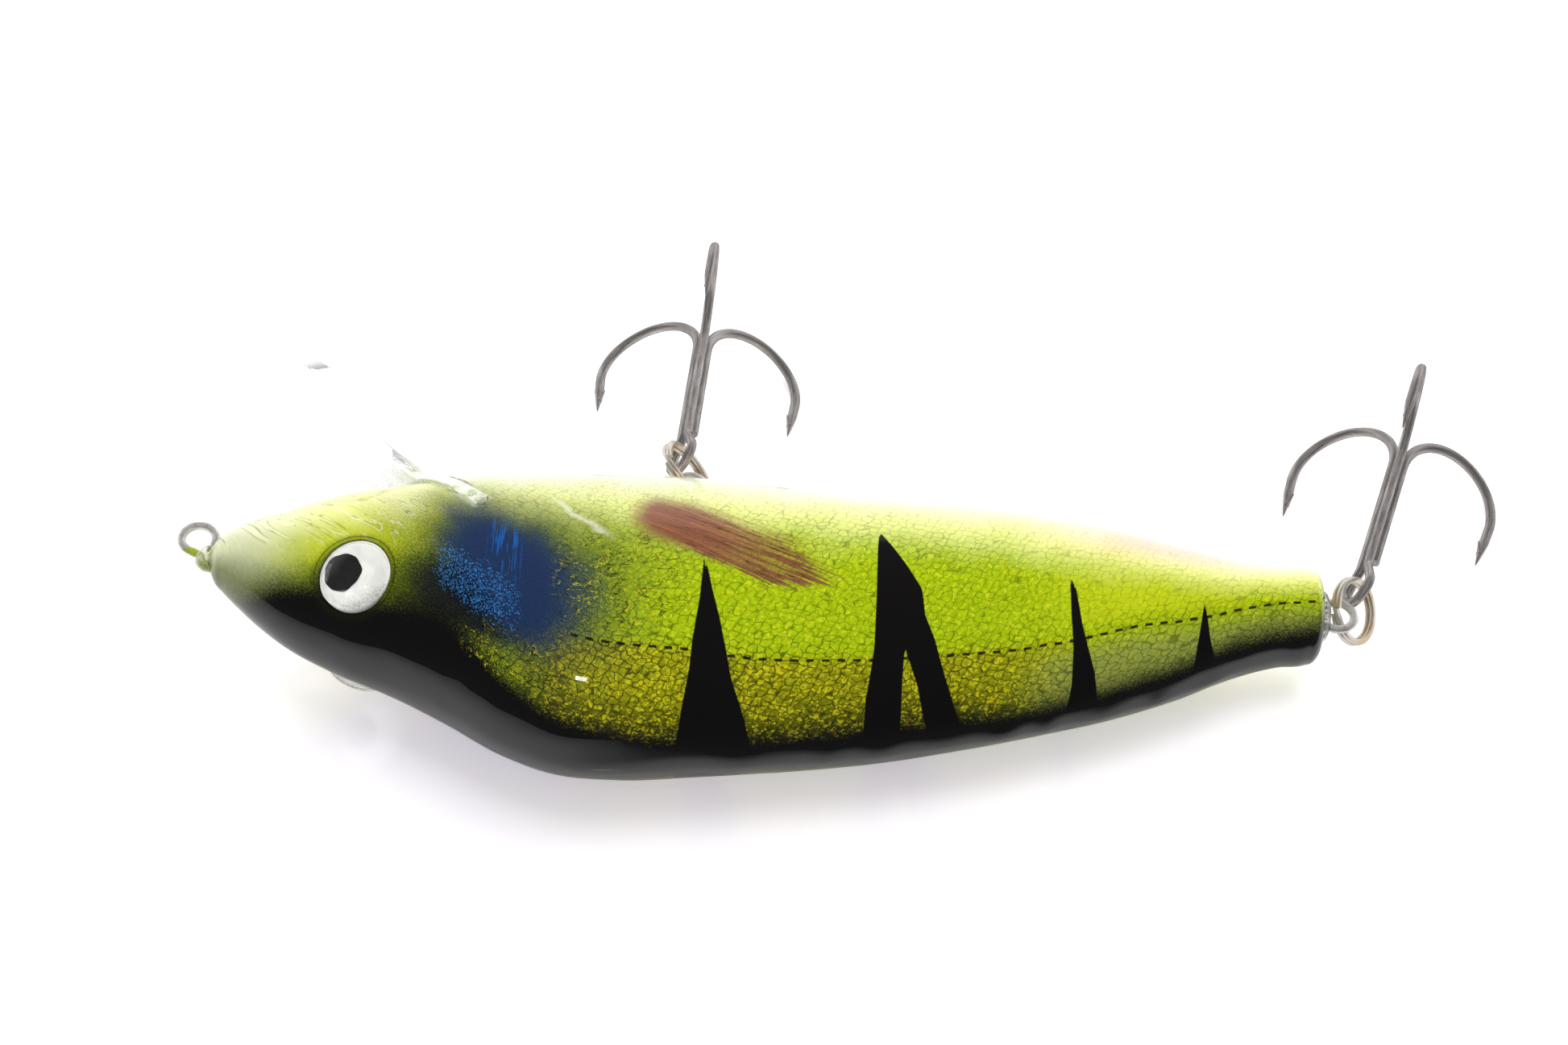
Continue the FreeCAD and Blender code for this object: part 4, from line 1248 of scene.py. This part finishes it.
def run_tree(mesh, tree, values):
    """Runs a geometry tree on a mesh and returns the result as a plain mesh."""
    holder = linked("holder", mesh)
    modifier = holder.modifiers.new("build", "NODES")
    modifier.node_group = tree
    for item in tree.interface.items_tree:
        if item.in_out == "INPUT" and item.name in values:
            modifier[item.identifier] = values[item.name]
    depsgraph = bpy.context.evaluated_depsgraph_get()
    depsgraph.update()
    result = bpy.data.meshes.new_from_object(holder.evaluated_get(depsgraph))
    bpy.data.objects.remove(holder)
    return result


def wire_mesh(name, path, look, swell=None):
    """The wire's path becomes edges, and the geometry tree sweeps the wire along them."""
    base = bpy.data.meshes.new(name + "_path")
    base.from_pydata(lay_down(path).tolist(), [(i, i + 1) for i in range(len(path) - 1)], [])
    add_marks(base, {"thick": np.ones(len(path)) if swell is None else swell})
    tree = bpy.data.node_groups.get("round_wire") or wire_tree()
    mesh = run_tree(base, tree, {"Radius": WIRE_R * MM, "Sides": WIRE_SIDES, "Material": look})
    mesh.name = name
    face_outwards(mesh)
    return mesh


def wire_look(name, tint, stain, band, reach):
    """Drawn stainless wire with paint left on it where y is in the band and x below reach."""
    sh = Shader(name)
    where = sh.place()
    x, y, _ = sh.split(where)
    grain = sh.noise(sh.scaled(where, (2.0, 2.0, 9.0)), 1.0, 3.0)
    blotch = sh.noise(where, 1.3, 2.0)
    metal = sh.mix(blotch.fade(0.45, 0.7) * 0.4, tint, srgb(150, 140, 128))
    masked = y.fade(band[0] - 0.6, band[0] + 0.6) * (1.0 - y.fade(band[1] - 0.6, band[1] + 0.6)) \
        * (1.0 - x.fade(reach - 0.5, reach + 0.5))
    cover = (masked * 1.2 + blotch * 0.8 + grain * 0.2).fade(1.15, 1.35)
    paint = sh.surface(Base_Color=sh.mix(grain, stain, srgb(96, 104, 20)), Roughness=0.3,
                       Coat_Weight=0.8, Normal=sh.bump(blotch, 0.2, 0.8))
    bare = sh.surface(Base_Color=metal, Metallic=0.66, Roughness=0.14 + grain * 0.16,
                      Specular_Tint=(0.5, 0.48, 0.46, 1.0),
                      Normal=sh.bump(grain, 0.02, 0.5))
    return sh.finish(sh.blend(cover, bare, paint))


# ---- hooks ----
def hook_frame(rest):
    h, d = math.radians(rest["heading"]), math.radians(rest["droop"])
    shank = unit(pitched((math.sin(h) * math.cos(d), math.cos(h) * math.cos(d),
                          -math.sin(d)), -1))
    up = pitched((0, 0, 1), -1)
    up = unit(up - shank * (up @ shank))
    right = np.cross(shank, up)

    def radial(angle):
        a = math.radians(angle)
        return up * math.cos(a) + right * math.sin(a)

    roll = rest["roll"]
    return shank, {"top": radial(roll), "fore": radial(roll - 120), "aft": radial(roll + 120)}


def hook_corners(eye, shank, radial, start):
    """Shank, round bend and point, ending at the very tip."""
    outer = HOOK_OFFSET + 2 * BEND_R
    bend = BEND_R * 0.96

    def at(along, away):
        return eye + shank * along + radial * away

    return [(at(start, HOOK_OFFSET), 0), (at(SHANK_END + BEND_R, HOOK_OFFSET), bend),
            (at(SHANK_END + BEND_R, outer), bend),
            (at(SHANK_END - POINT_BACK, outer - POINT_IN), 0)]


def eye_corners(eye, shank, frame_dirs):
    back = frame_dirs["aft"] * (-HOOK_OFFSET / 2)
    across = unit(frame_dirs["fore"] - frame_dirs["top"])
    spread = HOOK_OFFSET * math.sin(math.radians(60))
    centre = eye + back + shank * HOOK_EYE_R
    return [(eye + back + shank * EYE_NECK + across * spread, EYE_NECK_BEND),
            *loop_arc(centre, shank, across, HOOK_EYE_R, EYE_NECK_ANGLE),
            (eye + back + shank * EYE_NECK - across * spread, EYE_NECK_BEND)]


def taper(lengths, end):
    """Wire radius near a point: a slightly hollow-ground needle."""
    left = np.abs(end - lengths)
    t = np.clip(left / POINT_TAPER, 0, 1)
    return HOOK_R * (0.045 + 0.955 * t ** 0.82)


def hook_sweep(corners, ends, plane):
    """Sweeps the hook wire, tapered at the given ends and pressed flat in the bends."""
    path = rounded_path(corners, HOOK_STEP)
    at = distances(path)
    radii = np.full(len(path), HOOK_R)
    for end in ends:
        radii = np.minimum(radii, taper(at, at[-1] if end else 0.0))
    turning = np.linalg.norm(np.gradient(np.gradient(path, at, axis=0), at, axis=0), axis=1)
    flat = np.clip(turning * BEND_R, 0, 1) * (turning < 0.3)
    flat = np.convolve(np.pad(flat, 6, mode="edge"), np.ones(13) / 13, "valid")
    wide = np.stack([1 + PRESSED_WIDER * flat, 1 - PRESSED_THINNER * flat], 1)
    return sweep(path, radii, HOOK_SIDES, wide, plane)


def barb(corners):
    """A sliver cut up from the inner side of the point."""
    tip, turn = np.asarray(corners[-1][0]), np.asarray(corners[-2][0])
    run = unit(tip - turn)
    inward = np.asarray(corners[0][0]) - turn
    inward = unit(inward - run * (inward @ run))
    root = tip - run * (POINT_TAPER * 0.50) + inward * 0.12
    steps = np.linspace(0, 1, 14)
    path = np.array([root - run * (BARB_LENGTH * 0.92 * t) + inward * (BARB_LIFT * t ** 1.35)
                     for t in steps])
    radii = BARB_R * (1 - steps) ** 0.7 + 0.03
    wide = np.tile([[0.75, 1.1]], (len(steps), 1))
    return sweep(path, radii, 12, wide, np.cross(run, inward))


def double_hook_mesh(name, rest):
    eye = np.array(rest["eye"])
    shank, dirs = hook_frame(rest)
    top = hook_corners(eye, shank, dirs["top"], EYE_NECK)
    fore = hook_corners(eye, shank, dirs["fore"], EYE_NECK)
    corners = fore[:0:-1] + eye_corners(eye, shank, dirs) + top[1:]
    return joined_mesh(name, [hook_sweep(corners, (0, 1), dirs["aft"]), barb(top), barb(fore)])


def single_hook_mesh(name, rest):
    """The third hook and the braze that joins all three shanks."""
    eye = np.array(rest["eye"])
    shank, dirs = hook_frame(rest)
    corners = hook_corners(eye, shank, dirs["aft"], SINGLE_START)
    side = np.cross(shank, dirs["aft"])
    path = np.array([eye + shank * s + dirs["aft"] * 0.12
                     for s in np.linspace(BRAZE_FROM, BRAZE_TO, BRAZE_POINTS)])
    radii = BRAZE_R + 0.10 * ripple(path, 1.1, 4.0)
    radii *= from_ends(BRAZE_POINTS, 6, 0.3)
    return joined_mesh(name, [hook_sweep(corners, (1,), side), barb(corners),
                              sweep(path, radii, 14)])


def hook_look(metal):
    sh = Shader("black_nickel")
    run = sh.mark("run")
    where = sh.place()
    # lighter streaks along the wire are painted reflections; the same streaks also vary roughness
    # and bump
    highlight_streak = sh.noise(sh.scaled(run, (0.22, 3.2, 3.2)), 1.0, 3.0, 0.6)
    pits = sh.noise(where, 3.2, 3.0, 0.6)
    tint = sh.mix(highlight_streak.fade(0.40, 0.66), metal.black_nickel, srgb(204, 198, 194))
    tint = sh.mix(pits.fade(0.58, 0.72) * 0.6, tint, srgb(84, 80, 82))
    return sh.finish(sh.surface(
        Base_Color=tint, Metallic=0.78, Roughness=0.20 + highlight_streak * 0.14 + pits * 0.10,
        Specular_Tint=(0.30, 0.28, 0.28, 1.0),
        Normal=sh.bump(highlight_streak * 0.6 + pits * 0.5, 0.03, 0.6)))


def nickel_look(metal):
    sh = Shader("nickel_plate")
    where = sh.place()
    warm = sh.noise(where, 0.32, 2.0)
    scratch = sh.noise(sh.scaled(where, (3.0, 12.0, 3.0)), 1.0, 3.0, 0.6)
    tint = sh.mix(warm.fade(0.44, 0.60) * 0.55, metal.nickel, srgb(206, 174, 122))
    tint = sh.mix(scratch.fade(0.6, 0.75) * 0.35, tint, srgb(150, 142, 130))
    return sh.finish(sh.surface(
        Base_Color=tint, Metallic=0.72, Roughness=0.08 + scratch * 0.12,
        Specular_Tint=(0.5, 0.47, 0.44, 1.0),
        Normal=sh.bump(scratch, 0.015, 0.5)))


# ---- eyes ----
def foil_mesh(name, centre, axis, along):
    """Foil disc: faintly dished, with a pressed ring and a rolled rim."""
    points, faces = lathe(FOIL_ROWS, centre, axis, along, EYE_SIDES)
    mesh = new_mesh(name, points, faces)
    away = points - centre
    add_marks(mesh, {"eye_place": np.stack(
        [away @ along, away @ np.cross(axis, along), away @ axis], 1)})
    return mesh


def pupil_mesh(name, centre, axis, along):
    """Black dot painted by hand: an uneven outline with a rounded edge."""
    turn = circle(PUPIL_SIDES)
    edge = PUPIL_R + 0.07 * np.sin(3 * turn + 0.6) + 0.06 * np.sin(5 * turn + 2.0) \
        + 0.035 * np.sin(9 * turn + 1.0)
    other = np.cross(axis, along)
    points, rows = [centre + axis * PUPIL_ROWS[0][1]], []
    for share, height in PUPIL_ROWS:
        rows.append(len(points))
        for t, r in zip(turn, edge):
            points.append(centre + axis * height
                          + (along * math.cos(t) + other * math.sin(t)) * r * share)
    faces = [(0, rows[0] + j, rows[0] + (j + 1) % PUPIL_SIDES) for j in range(PUPIL_SIDES)]
    for low, high in zip(rows, rows[1:]):
        for j in range(PUPIL_SIDES):
            k = (j + 1) % PUPIL_SIDES
            faces.append((low + j, high + j, high + k, low + k))
    faces.append(tuple(rows[-1] + j for j in range(PUPIL_SIDES))[::-1])
    return new_mesh(name, np.array(points), faces)


def dome_mesh(name, centre, axis, along):
    """Clear lens with a short upright edge and a soft shoulder."""
    half, rise, floor = LENS
    radius = (half * half + rise * rise) / (2 * rise)
    top = math.asin(half / radius)
    rows = [(0, floor), (half - 0.25, floor), (half, 0.40)]
    for t in np.linspace(top * 0.985, 0, 30):
        rows.append((radius * math.sin(t), rise - radius + radius * math.cos(t)))
    rows[-1] = (0, rise)
    rows = [r for r in rows if r[0] == 0 or r[1] >= floor]
    points, faces = lathe(rows, centre, axis, along, EYE_SIDES)
    return new_mesh(name, points, faces)


def foil_look(clear):
    sh = Shader("eye_foil")
    where = sh.mark("eye_place")
    x, y, _ = sh.split(where)
    grain = sh.noise(where, 5.0, 2.0)
    dust = sh.noise(where, 11.0, 1.0)
    soft = sh.noise(where, 0.5, 2.0)
    tint = sh.mix(soft.fade(0.4, 0.6) * 0.5, clear.foil, srgb(216, 216, 212))
    lower = (x * 0.4 - y * 0.9).fade(0.5, 4.6)
    tint = sh.mix((grain * 0.6 + dust * 0.5 + lower * 0.35).fade(0.74, 0.92) * 0.5, tint,
                  srgb(92, 90, 84))
    return sh.finish(sh.surface(
        Base_Color=tint, Metallic=0.12, Roughness=0.32 + grain * 0.15,
        Normal=sh.bump(grain + soft, 0.03, 0.6)))


def pupil_look():
    sh = Shader("pupil_gloss")
    where = sh.place()
    dust = sh.noise(where, 7.0, 2.0)
    tint = sh.mix(dust.fade(0.6, 0.8) * 0.6, srgb(7, 7, 7), srgb(34, 34, 32))
    return sh.finish(sh.surface(Base_Color=tint, Roughness=0.7 + dust * 0.2,
                                Specular_IOR_Level=0.0, Normal=sh.bump(dust, 0.03, 0.5)))


def dome_look():
    sh = Shader("clear_dome")
    where = sh.place()
    haze = sh.noise(where, 0.8, 2.0)
    return sh.finish(sh.surface(
        Base_Color=sh.mix(haze, srgb(255, 255, 255), srgb(248, 250, 246)),
        Transmission_Weight=1.0, IOR=LENS_IOR, Roughness=0.01 + haze * 0.02,
        Normal=sh.bump(haze, 0.02, 0.4)))


def core_look(name, first, second, metallic, grain_scale):
    """Cast lead or beech, for the parts inside the body."""
    sh = Shader(name)
    where = sh.place()
    grain = sh.noise(sh.scaled(where, grain_scale), 1.0, 4.0, 0.6, 0.6)
    pits = sh.noise(where, 2.4, 3.0)
    tint = sh.mix(grain, first, second)
    return sh.finish(sh.surface(
        Base_Color=tint, Metallic=metallic, Roughness=0.45 + pits * 0.25,
        Normal=sh.bump(grain + pits * 0.5, 0.08, 0.7)))


# ---- operators ----
class LURE_OT_body(bpy.types.Operator):
    """Builds the painted and coated body"""

    bl_idname = "lure.body"
    bl_label = "Painted body"

    def execute(self, context):
        eyes = eye_places()
        mesh = cut_eye_sockets(skin_mesh(context.scene.lure_clear), eyes)
        add_marks(mesh, skin_marks(stand_up(mesh_points(mesh)), eyes))
        add_piece(mesh, paint_look(context.scene.lure_paint), "lure",
                  ("body_right_half", "body_left_half"), 35.0)
        return {"FINISHED"}


class LURE_OT_core(bpy.types.Operator):
    """Gives the lead slugs and beech dowels inside the body their finish"""

    bl_idname = "lure.core"
    bl_label = "Ballast and dowels"

    def execute(self, context):
        lead = core_look("cast_lead", srgb(118, 120, 124), srgb(92, 94, 98), 0.8, (1, 1, 1))
        beech = core_look("beech", srgb(206, 170, 126), srgb(178, 138, 96), 0.0, (2, 2, 0.15))
        for name in ("ballast_front", "ballast_middle", "ballast_rear"):
            self.dress(name, lead)
        for name in ("front_dowel", "rear_dowel"):
            self.dress(name, beech)
        return {"FINISHED"}

    @staticmethod
    def dress(name, look):
        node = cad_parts[name]
        node.data.materials.clear()
        node.data.materials.append(look)


class LURE_OT_lip(bpy.types.Operator):
    """Builds the clear diving lip and the epoxy that holds it"""

    bl_idname = "lure.lip"
    bl_label = "Diving lip"

    def execute(self, context):
        clear = context.scene.lure_clear
        add_piece(lip_mesh(), lip_look(clear), "lure", ("diving_lip",), 50.0)
        look = epoxy_look("throat_epoxy", srgb(250, 252, 246), srgb(226, 234, 190), 0.6)
        add_piece(throat_bead_mesh(), look, "lure")
        return {"FINISHED"}


class LURE_OT_wires(bpy.types.Operator):
    """Builds the through-wire with its loops, the belly hanger and their epoxy"""

    bl_idname = "lure.wires"
    bl_label = "Wires"

    def execute(self, context):
        steel = context.scene.lure_metal.steel
        look = wire_look("tie_wire", steel, srgb(182, 196, 60), (-6.0, -1.9), 8.0)
        path = through_wire_path()
        swell = 1 + 0.16 * np.clip(ripple(path, 0.9, 2.0), 0, 1) * (path[:, 0] < 6) \
            * (path[:, 1] < -1.5)
        add_piece(wire_mesh("through_wire_bent", path, look, swell), look, "lure",
                  ("through_wire",))
        look = wire_look("hanger_wire", steel, srgb(206, 92, 40), (8.0, 13.6), 90.0)
        add_piece(wire_mesh("belly_hanger_bent", hanger_path(), look), look, "lure",
                  ("belly_hanger",))
        clear = epoxy_look("nose_epoxy", srgb(240, 244, 226), srgb(206, 214, 150), 0.7)
        add_piece(nose_bead_mesh(), clear, "lure", ("nose_bead",))
        dirty = epoxy_look("tail_epoxy", srgb(226, 228, 226), srgb(70, 72, 70), 0.8)
        add_piece(tail_collar_mesh(), dirty, "lure", ("tail_collar",))
        return {"FINISHED"}


class LURE_OT_eyes(bpy.types.Operator):
    """Builds the foil discs, painted pupils and clear domes"""

    bl_idname = "lure.eyes"
    bl_label = "Eyes"

    def execute(self, context):
        foil = foil_look(context.scene.lure_clear)
        black, glass = pupil_look(), dome_look()
        for word, (centre, axis, along) in zip(("right", "left"), eye_places()):
            pupil = stand_up(mesh_points(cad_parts[word + "_eye_pupil"].data))
            middle = (pupil.max(0) + pupil.min(0)) / 2
            middle = middle - axis * ((middle - centre) @ axis)
            add_piece(foil_mesh(word + "_foil_eye", centre, axis, along), foil, "lure",
                      (word + "_eye_disc",), 25.0)
            add_piece(pupil_mesh(word + "_pupil", middle, axis, along), black, "lure",
                      (word + "_eye_pupil",))
            add_piece(dome_mesh(word + "_lens", centre, axis, along), glass, "lure",
                      (word + "_eye_dome",), 45.0)
        return {"FINISHED"}


class LURE_OT_rings(bpy.types.Operator):
    """Winds the two split rings"""

    bl_idname = "lure.rings"
    bl_label = "Split rings"

    def execute(self, context):
        look = nickel_look(context.scene.lure_metal)
        tree = ring_tree()
        for word, rest in RESTS.items():
            base = bpy.data.meshes.new(word + "_coil")
            mesh = run_tree(base, tree, {"Turns": context.scene.lure_metal.turns,
                                         "Material": look})
            mesh.name = word + "_split_ring_coil"
            axis = Vector(lay_down(rest["axis"])).normalized()
            turn = Vector((0, 0, 1)).rotation_difference(axis).to_matrix().to_4x4()
            spin = Matrix.Rotation(RING_SPIN, 4, "Z")
            mesh.transform(Matrix.Translation(lay_down(rest["ring"])) @ turn @ spin)
            face_outwards(mesh)
            add_piece(mesh, look, word + "_ring", (word + "_split_ring",), 50.0)
        return {"FINISHED"}


class LURE_OT_hooks(bpy.types.Operator):
    """Builds the two treble hooks"""

    bl_idname = "lure.hooks"
    bl_label = "Treble hooks"

    def execute(self, context):
        look = hook_look(context.scene.lure_metal)
        for word, rest in RESTS.items():
            add_piece(double_hook_mesh(word + "_hook_pair", rest), look, word + "_treble",
                      (word + "_double_hook",), 50.0)
            add_piece(single_hook_mesh(word + "_hook_brazed", rest), look, word + "_treble",
                      (word + "_single_hook",), 50.0)
        return {"FINISHED"}


class LURE_OT_stage(bpy.types.Operator):
    """Sets up the table, the lamps, the surroundings and the camera"""

    bl_idname = "lure.stage"
    bl_label = "Stage"

    def execute(self, context):
        make_floor()
        make_world(context.scene)
        make_lamps()
        make_camera(context.scene)
        context.scene.view_settings.view_transform = "Standard"
        return {"FINISHED"}


# ---- stage ----
def make_floor():
    mesh = bpy.data.meshes.new("table")
    low = CAD_LOW.z - TABLE_DROP
    rim = [(TABLE_X + TABLE_R * math.cos(t), TABLE_R * math.sin(t), low)
           for t in circle(TABLE_SIDES)]
    mesh.from_pydata(rim, [], [tuple(range(TABLE_SIDES))])
    sh = Shader("white_table")
    seen, mirrored, _ = sh.rays()
    where = sh.add("ShaderNodeTexCoord").outputs["Object"]
    wave = sh.noise(where, 14.0, 2.0)
    east, north, _ = sh.split(where)
    # painted shade: seen in mirrors, the table past this line is dark, standing in for a dim room
    # on the camera's side
    mirror_shade = (1.0 - (north - east * 0.2).fade(-0.068, -0.054)) * east.fade(0.035, 0.075) \
        * mirrored
    glow = sh.mix(seen, BLACK, TABLE_GLOW)
    paper = sh.mix(wave, srgb(246, 245, 246), srgb(250, 249, 250))
    mesh.materials.append(sh.finish(sh.surface(
        Base_Color=sh.mix(mirror_shade, paper, (0.03, 0.03, 0.03)), Roughness=0.16,
        IOR=TABLE_IOR, Specular_IOR_Level=0.5, Emission_Color=glow, Emission_Strength=1.0)))
    linked("table", mesh)


def make_world(scene):
    """Even fill light. Reflections see a pale backdrop behind the lure and a dim room."""
    world = bpy.data.worlds.new("studio")
    scene.world = world
    sh = Shader("studio", world)
    seen, _, scattered = sh.rays()
    _, deep, up = sh.split(sh.add("ShaderNodeTexCoord").outputs["Generated"])
    card = deep.fade(0.05, 0.45) * (1.0 - up.fade(0.50, 0.56)) * (1.0 - up.fade(0.0, 0.56) * 0.6)
    room = sh.mix(card, ROOM, WHITE)
    lit = sh.mix(scattered, room, FILL)
    final = sh.mix(seen, lit, WHITE)
    back = sh.add("ShaderNodeBackground", None, {"Color": final}).outputs[0]
    sh.add("ShaderNodeOutputWorld", None, {"Surface": back})


def make_lamps():
    middle = (CAD_LOW + CAD_HIGH) / 2
    for name, at, size, power, mirrored in LAMPS:
        data = bpy.data.lights.new(name, "AREA")
        data.shape, data.size, data.size_y, data.energy = "RECTANGLE", *size, power
        lamp = linked(name, data)
        lamp.location = at
        lamp.rotation_euler = (Vector(at) - middle).to_track_quat("Z", "Y").to_euler()
        lamp.visible_glossy = mirrored


def make_camera(scene):
    data = bpy.data.cameras.new("camera")
    data.lens, data.sensor_width = CAMERA_LENS, 36.0
    data.clip_start, data.clip_end = 0.01, 50.0
    camera = linked("camera", data)
    at, aim = Vector(CAMERA_AT) * MM, Vector(CAMERA_AIM) * MM
    camera.location = at
    camera.rotation_euler = (at - aim).to_track_quat("Z", "Y").to_euler()
    scene.camera = camera


# ---- panel ----
PIECES = (LURE_OT_body, LURE_OT_core, LURE_OT_lip, LURE_OT_wires, LURE_OT_eyes, LURE_OT_rings,
          LURE_OT_hooks, LURE_OT_stage)


class VIEW3D_PT_lure(bpy.types.Panel):
    """Lists the lure's pieces, sizes and colours"""

    bl_idname = "VIEW3D_PT_lure"
    bl_label = "Lure"
    bl_space_type = "VIEW_3D"
    bl_region_type = "UI"
    bl_category = "Lure"

    def draw(self, context):
        for piece in PIECES:
            self.layout.operator(piece.bl_idname)
        for group in (context.scene.lure_paint, context.scene.lure_clear,
                      context.scene.lure_metal):
            for key in group.bl_rna.properties.keys():
                if key not in ("rna_type", "name"):
                    self.layout.prop(group, key)


CLASSES = (LurePaint, LureClear, LureMetal, *PIECES, VIEW3D_PT_lure)


def register():
    for each in CLASSES:
        bpy.utils.register_class(each)
    bpy.types.Scene.lure_paint = bpy.props.PointerProperty(type=LurePaint)
    bpy.types.Scene.lure_clear = bpy.props.PointerProperty(type=LureClear)
    bpy.types.Scene.lure_metal = bpy.props.PointerProperty(type=LureMetal)


def unregister():
    for name in ("lure_paint", "lure_clear", "lure_metal"):
        delattr(bpy.types.Scene, name)
    for each in reversed(CLASSES):
        bpy.utils.unregister_class(each)


def main():
    register()
    bpy.ops.lure.body()
    bpy.ops.lure.core()
    bpy.ops.lure.lip()
    bpy.ops.lure.wires()
    bpy.ops.lure.eyes()
    bpy.ops.lure.rings()
    bpy.ops.lure.hooks()
    bpy.ops.lure.stage()


if __name__ == "__main__":
    main()
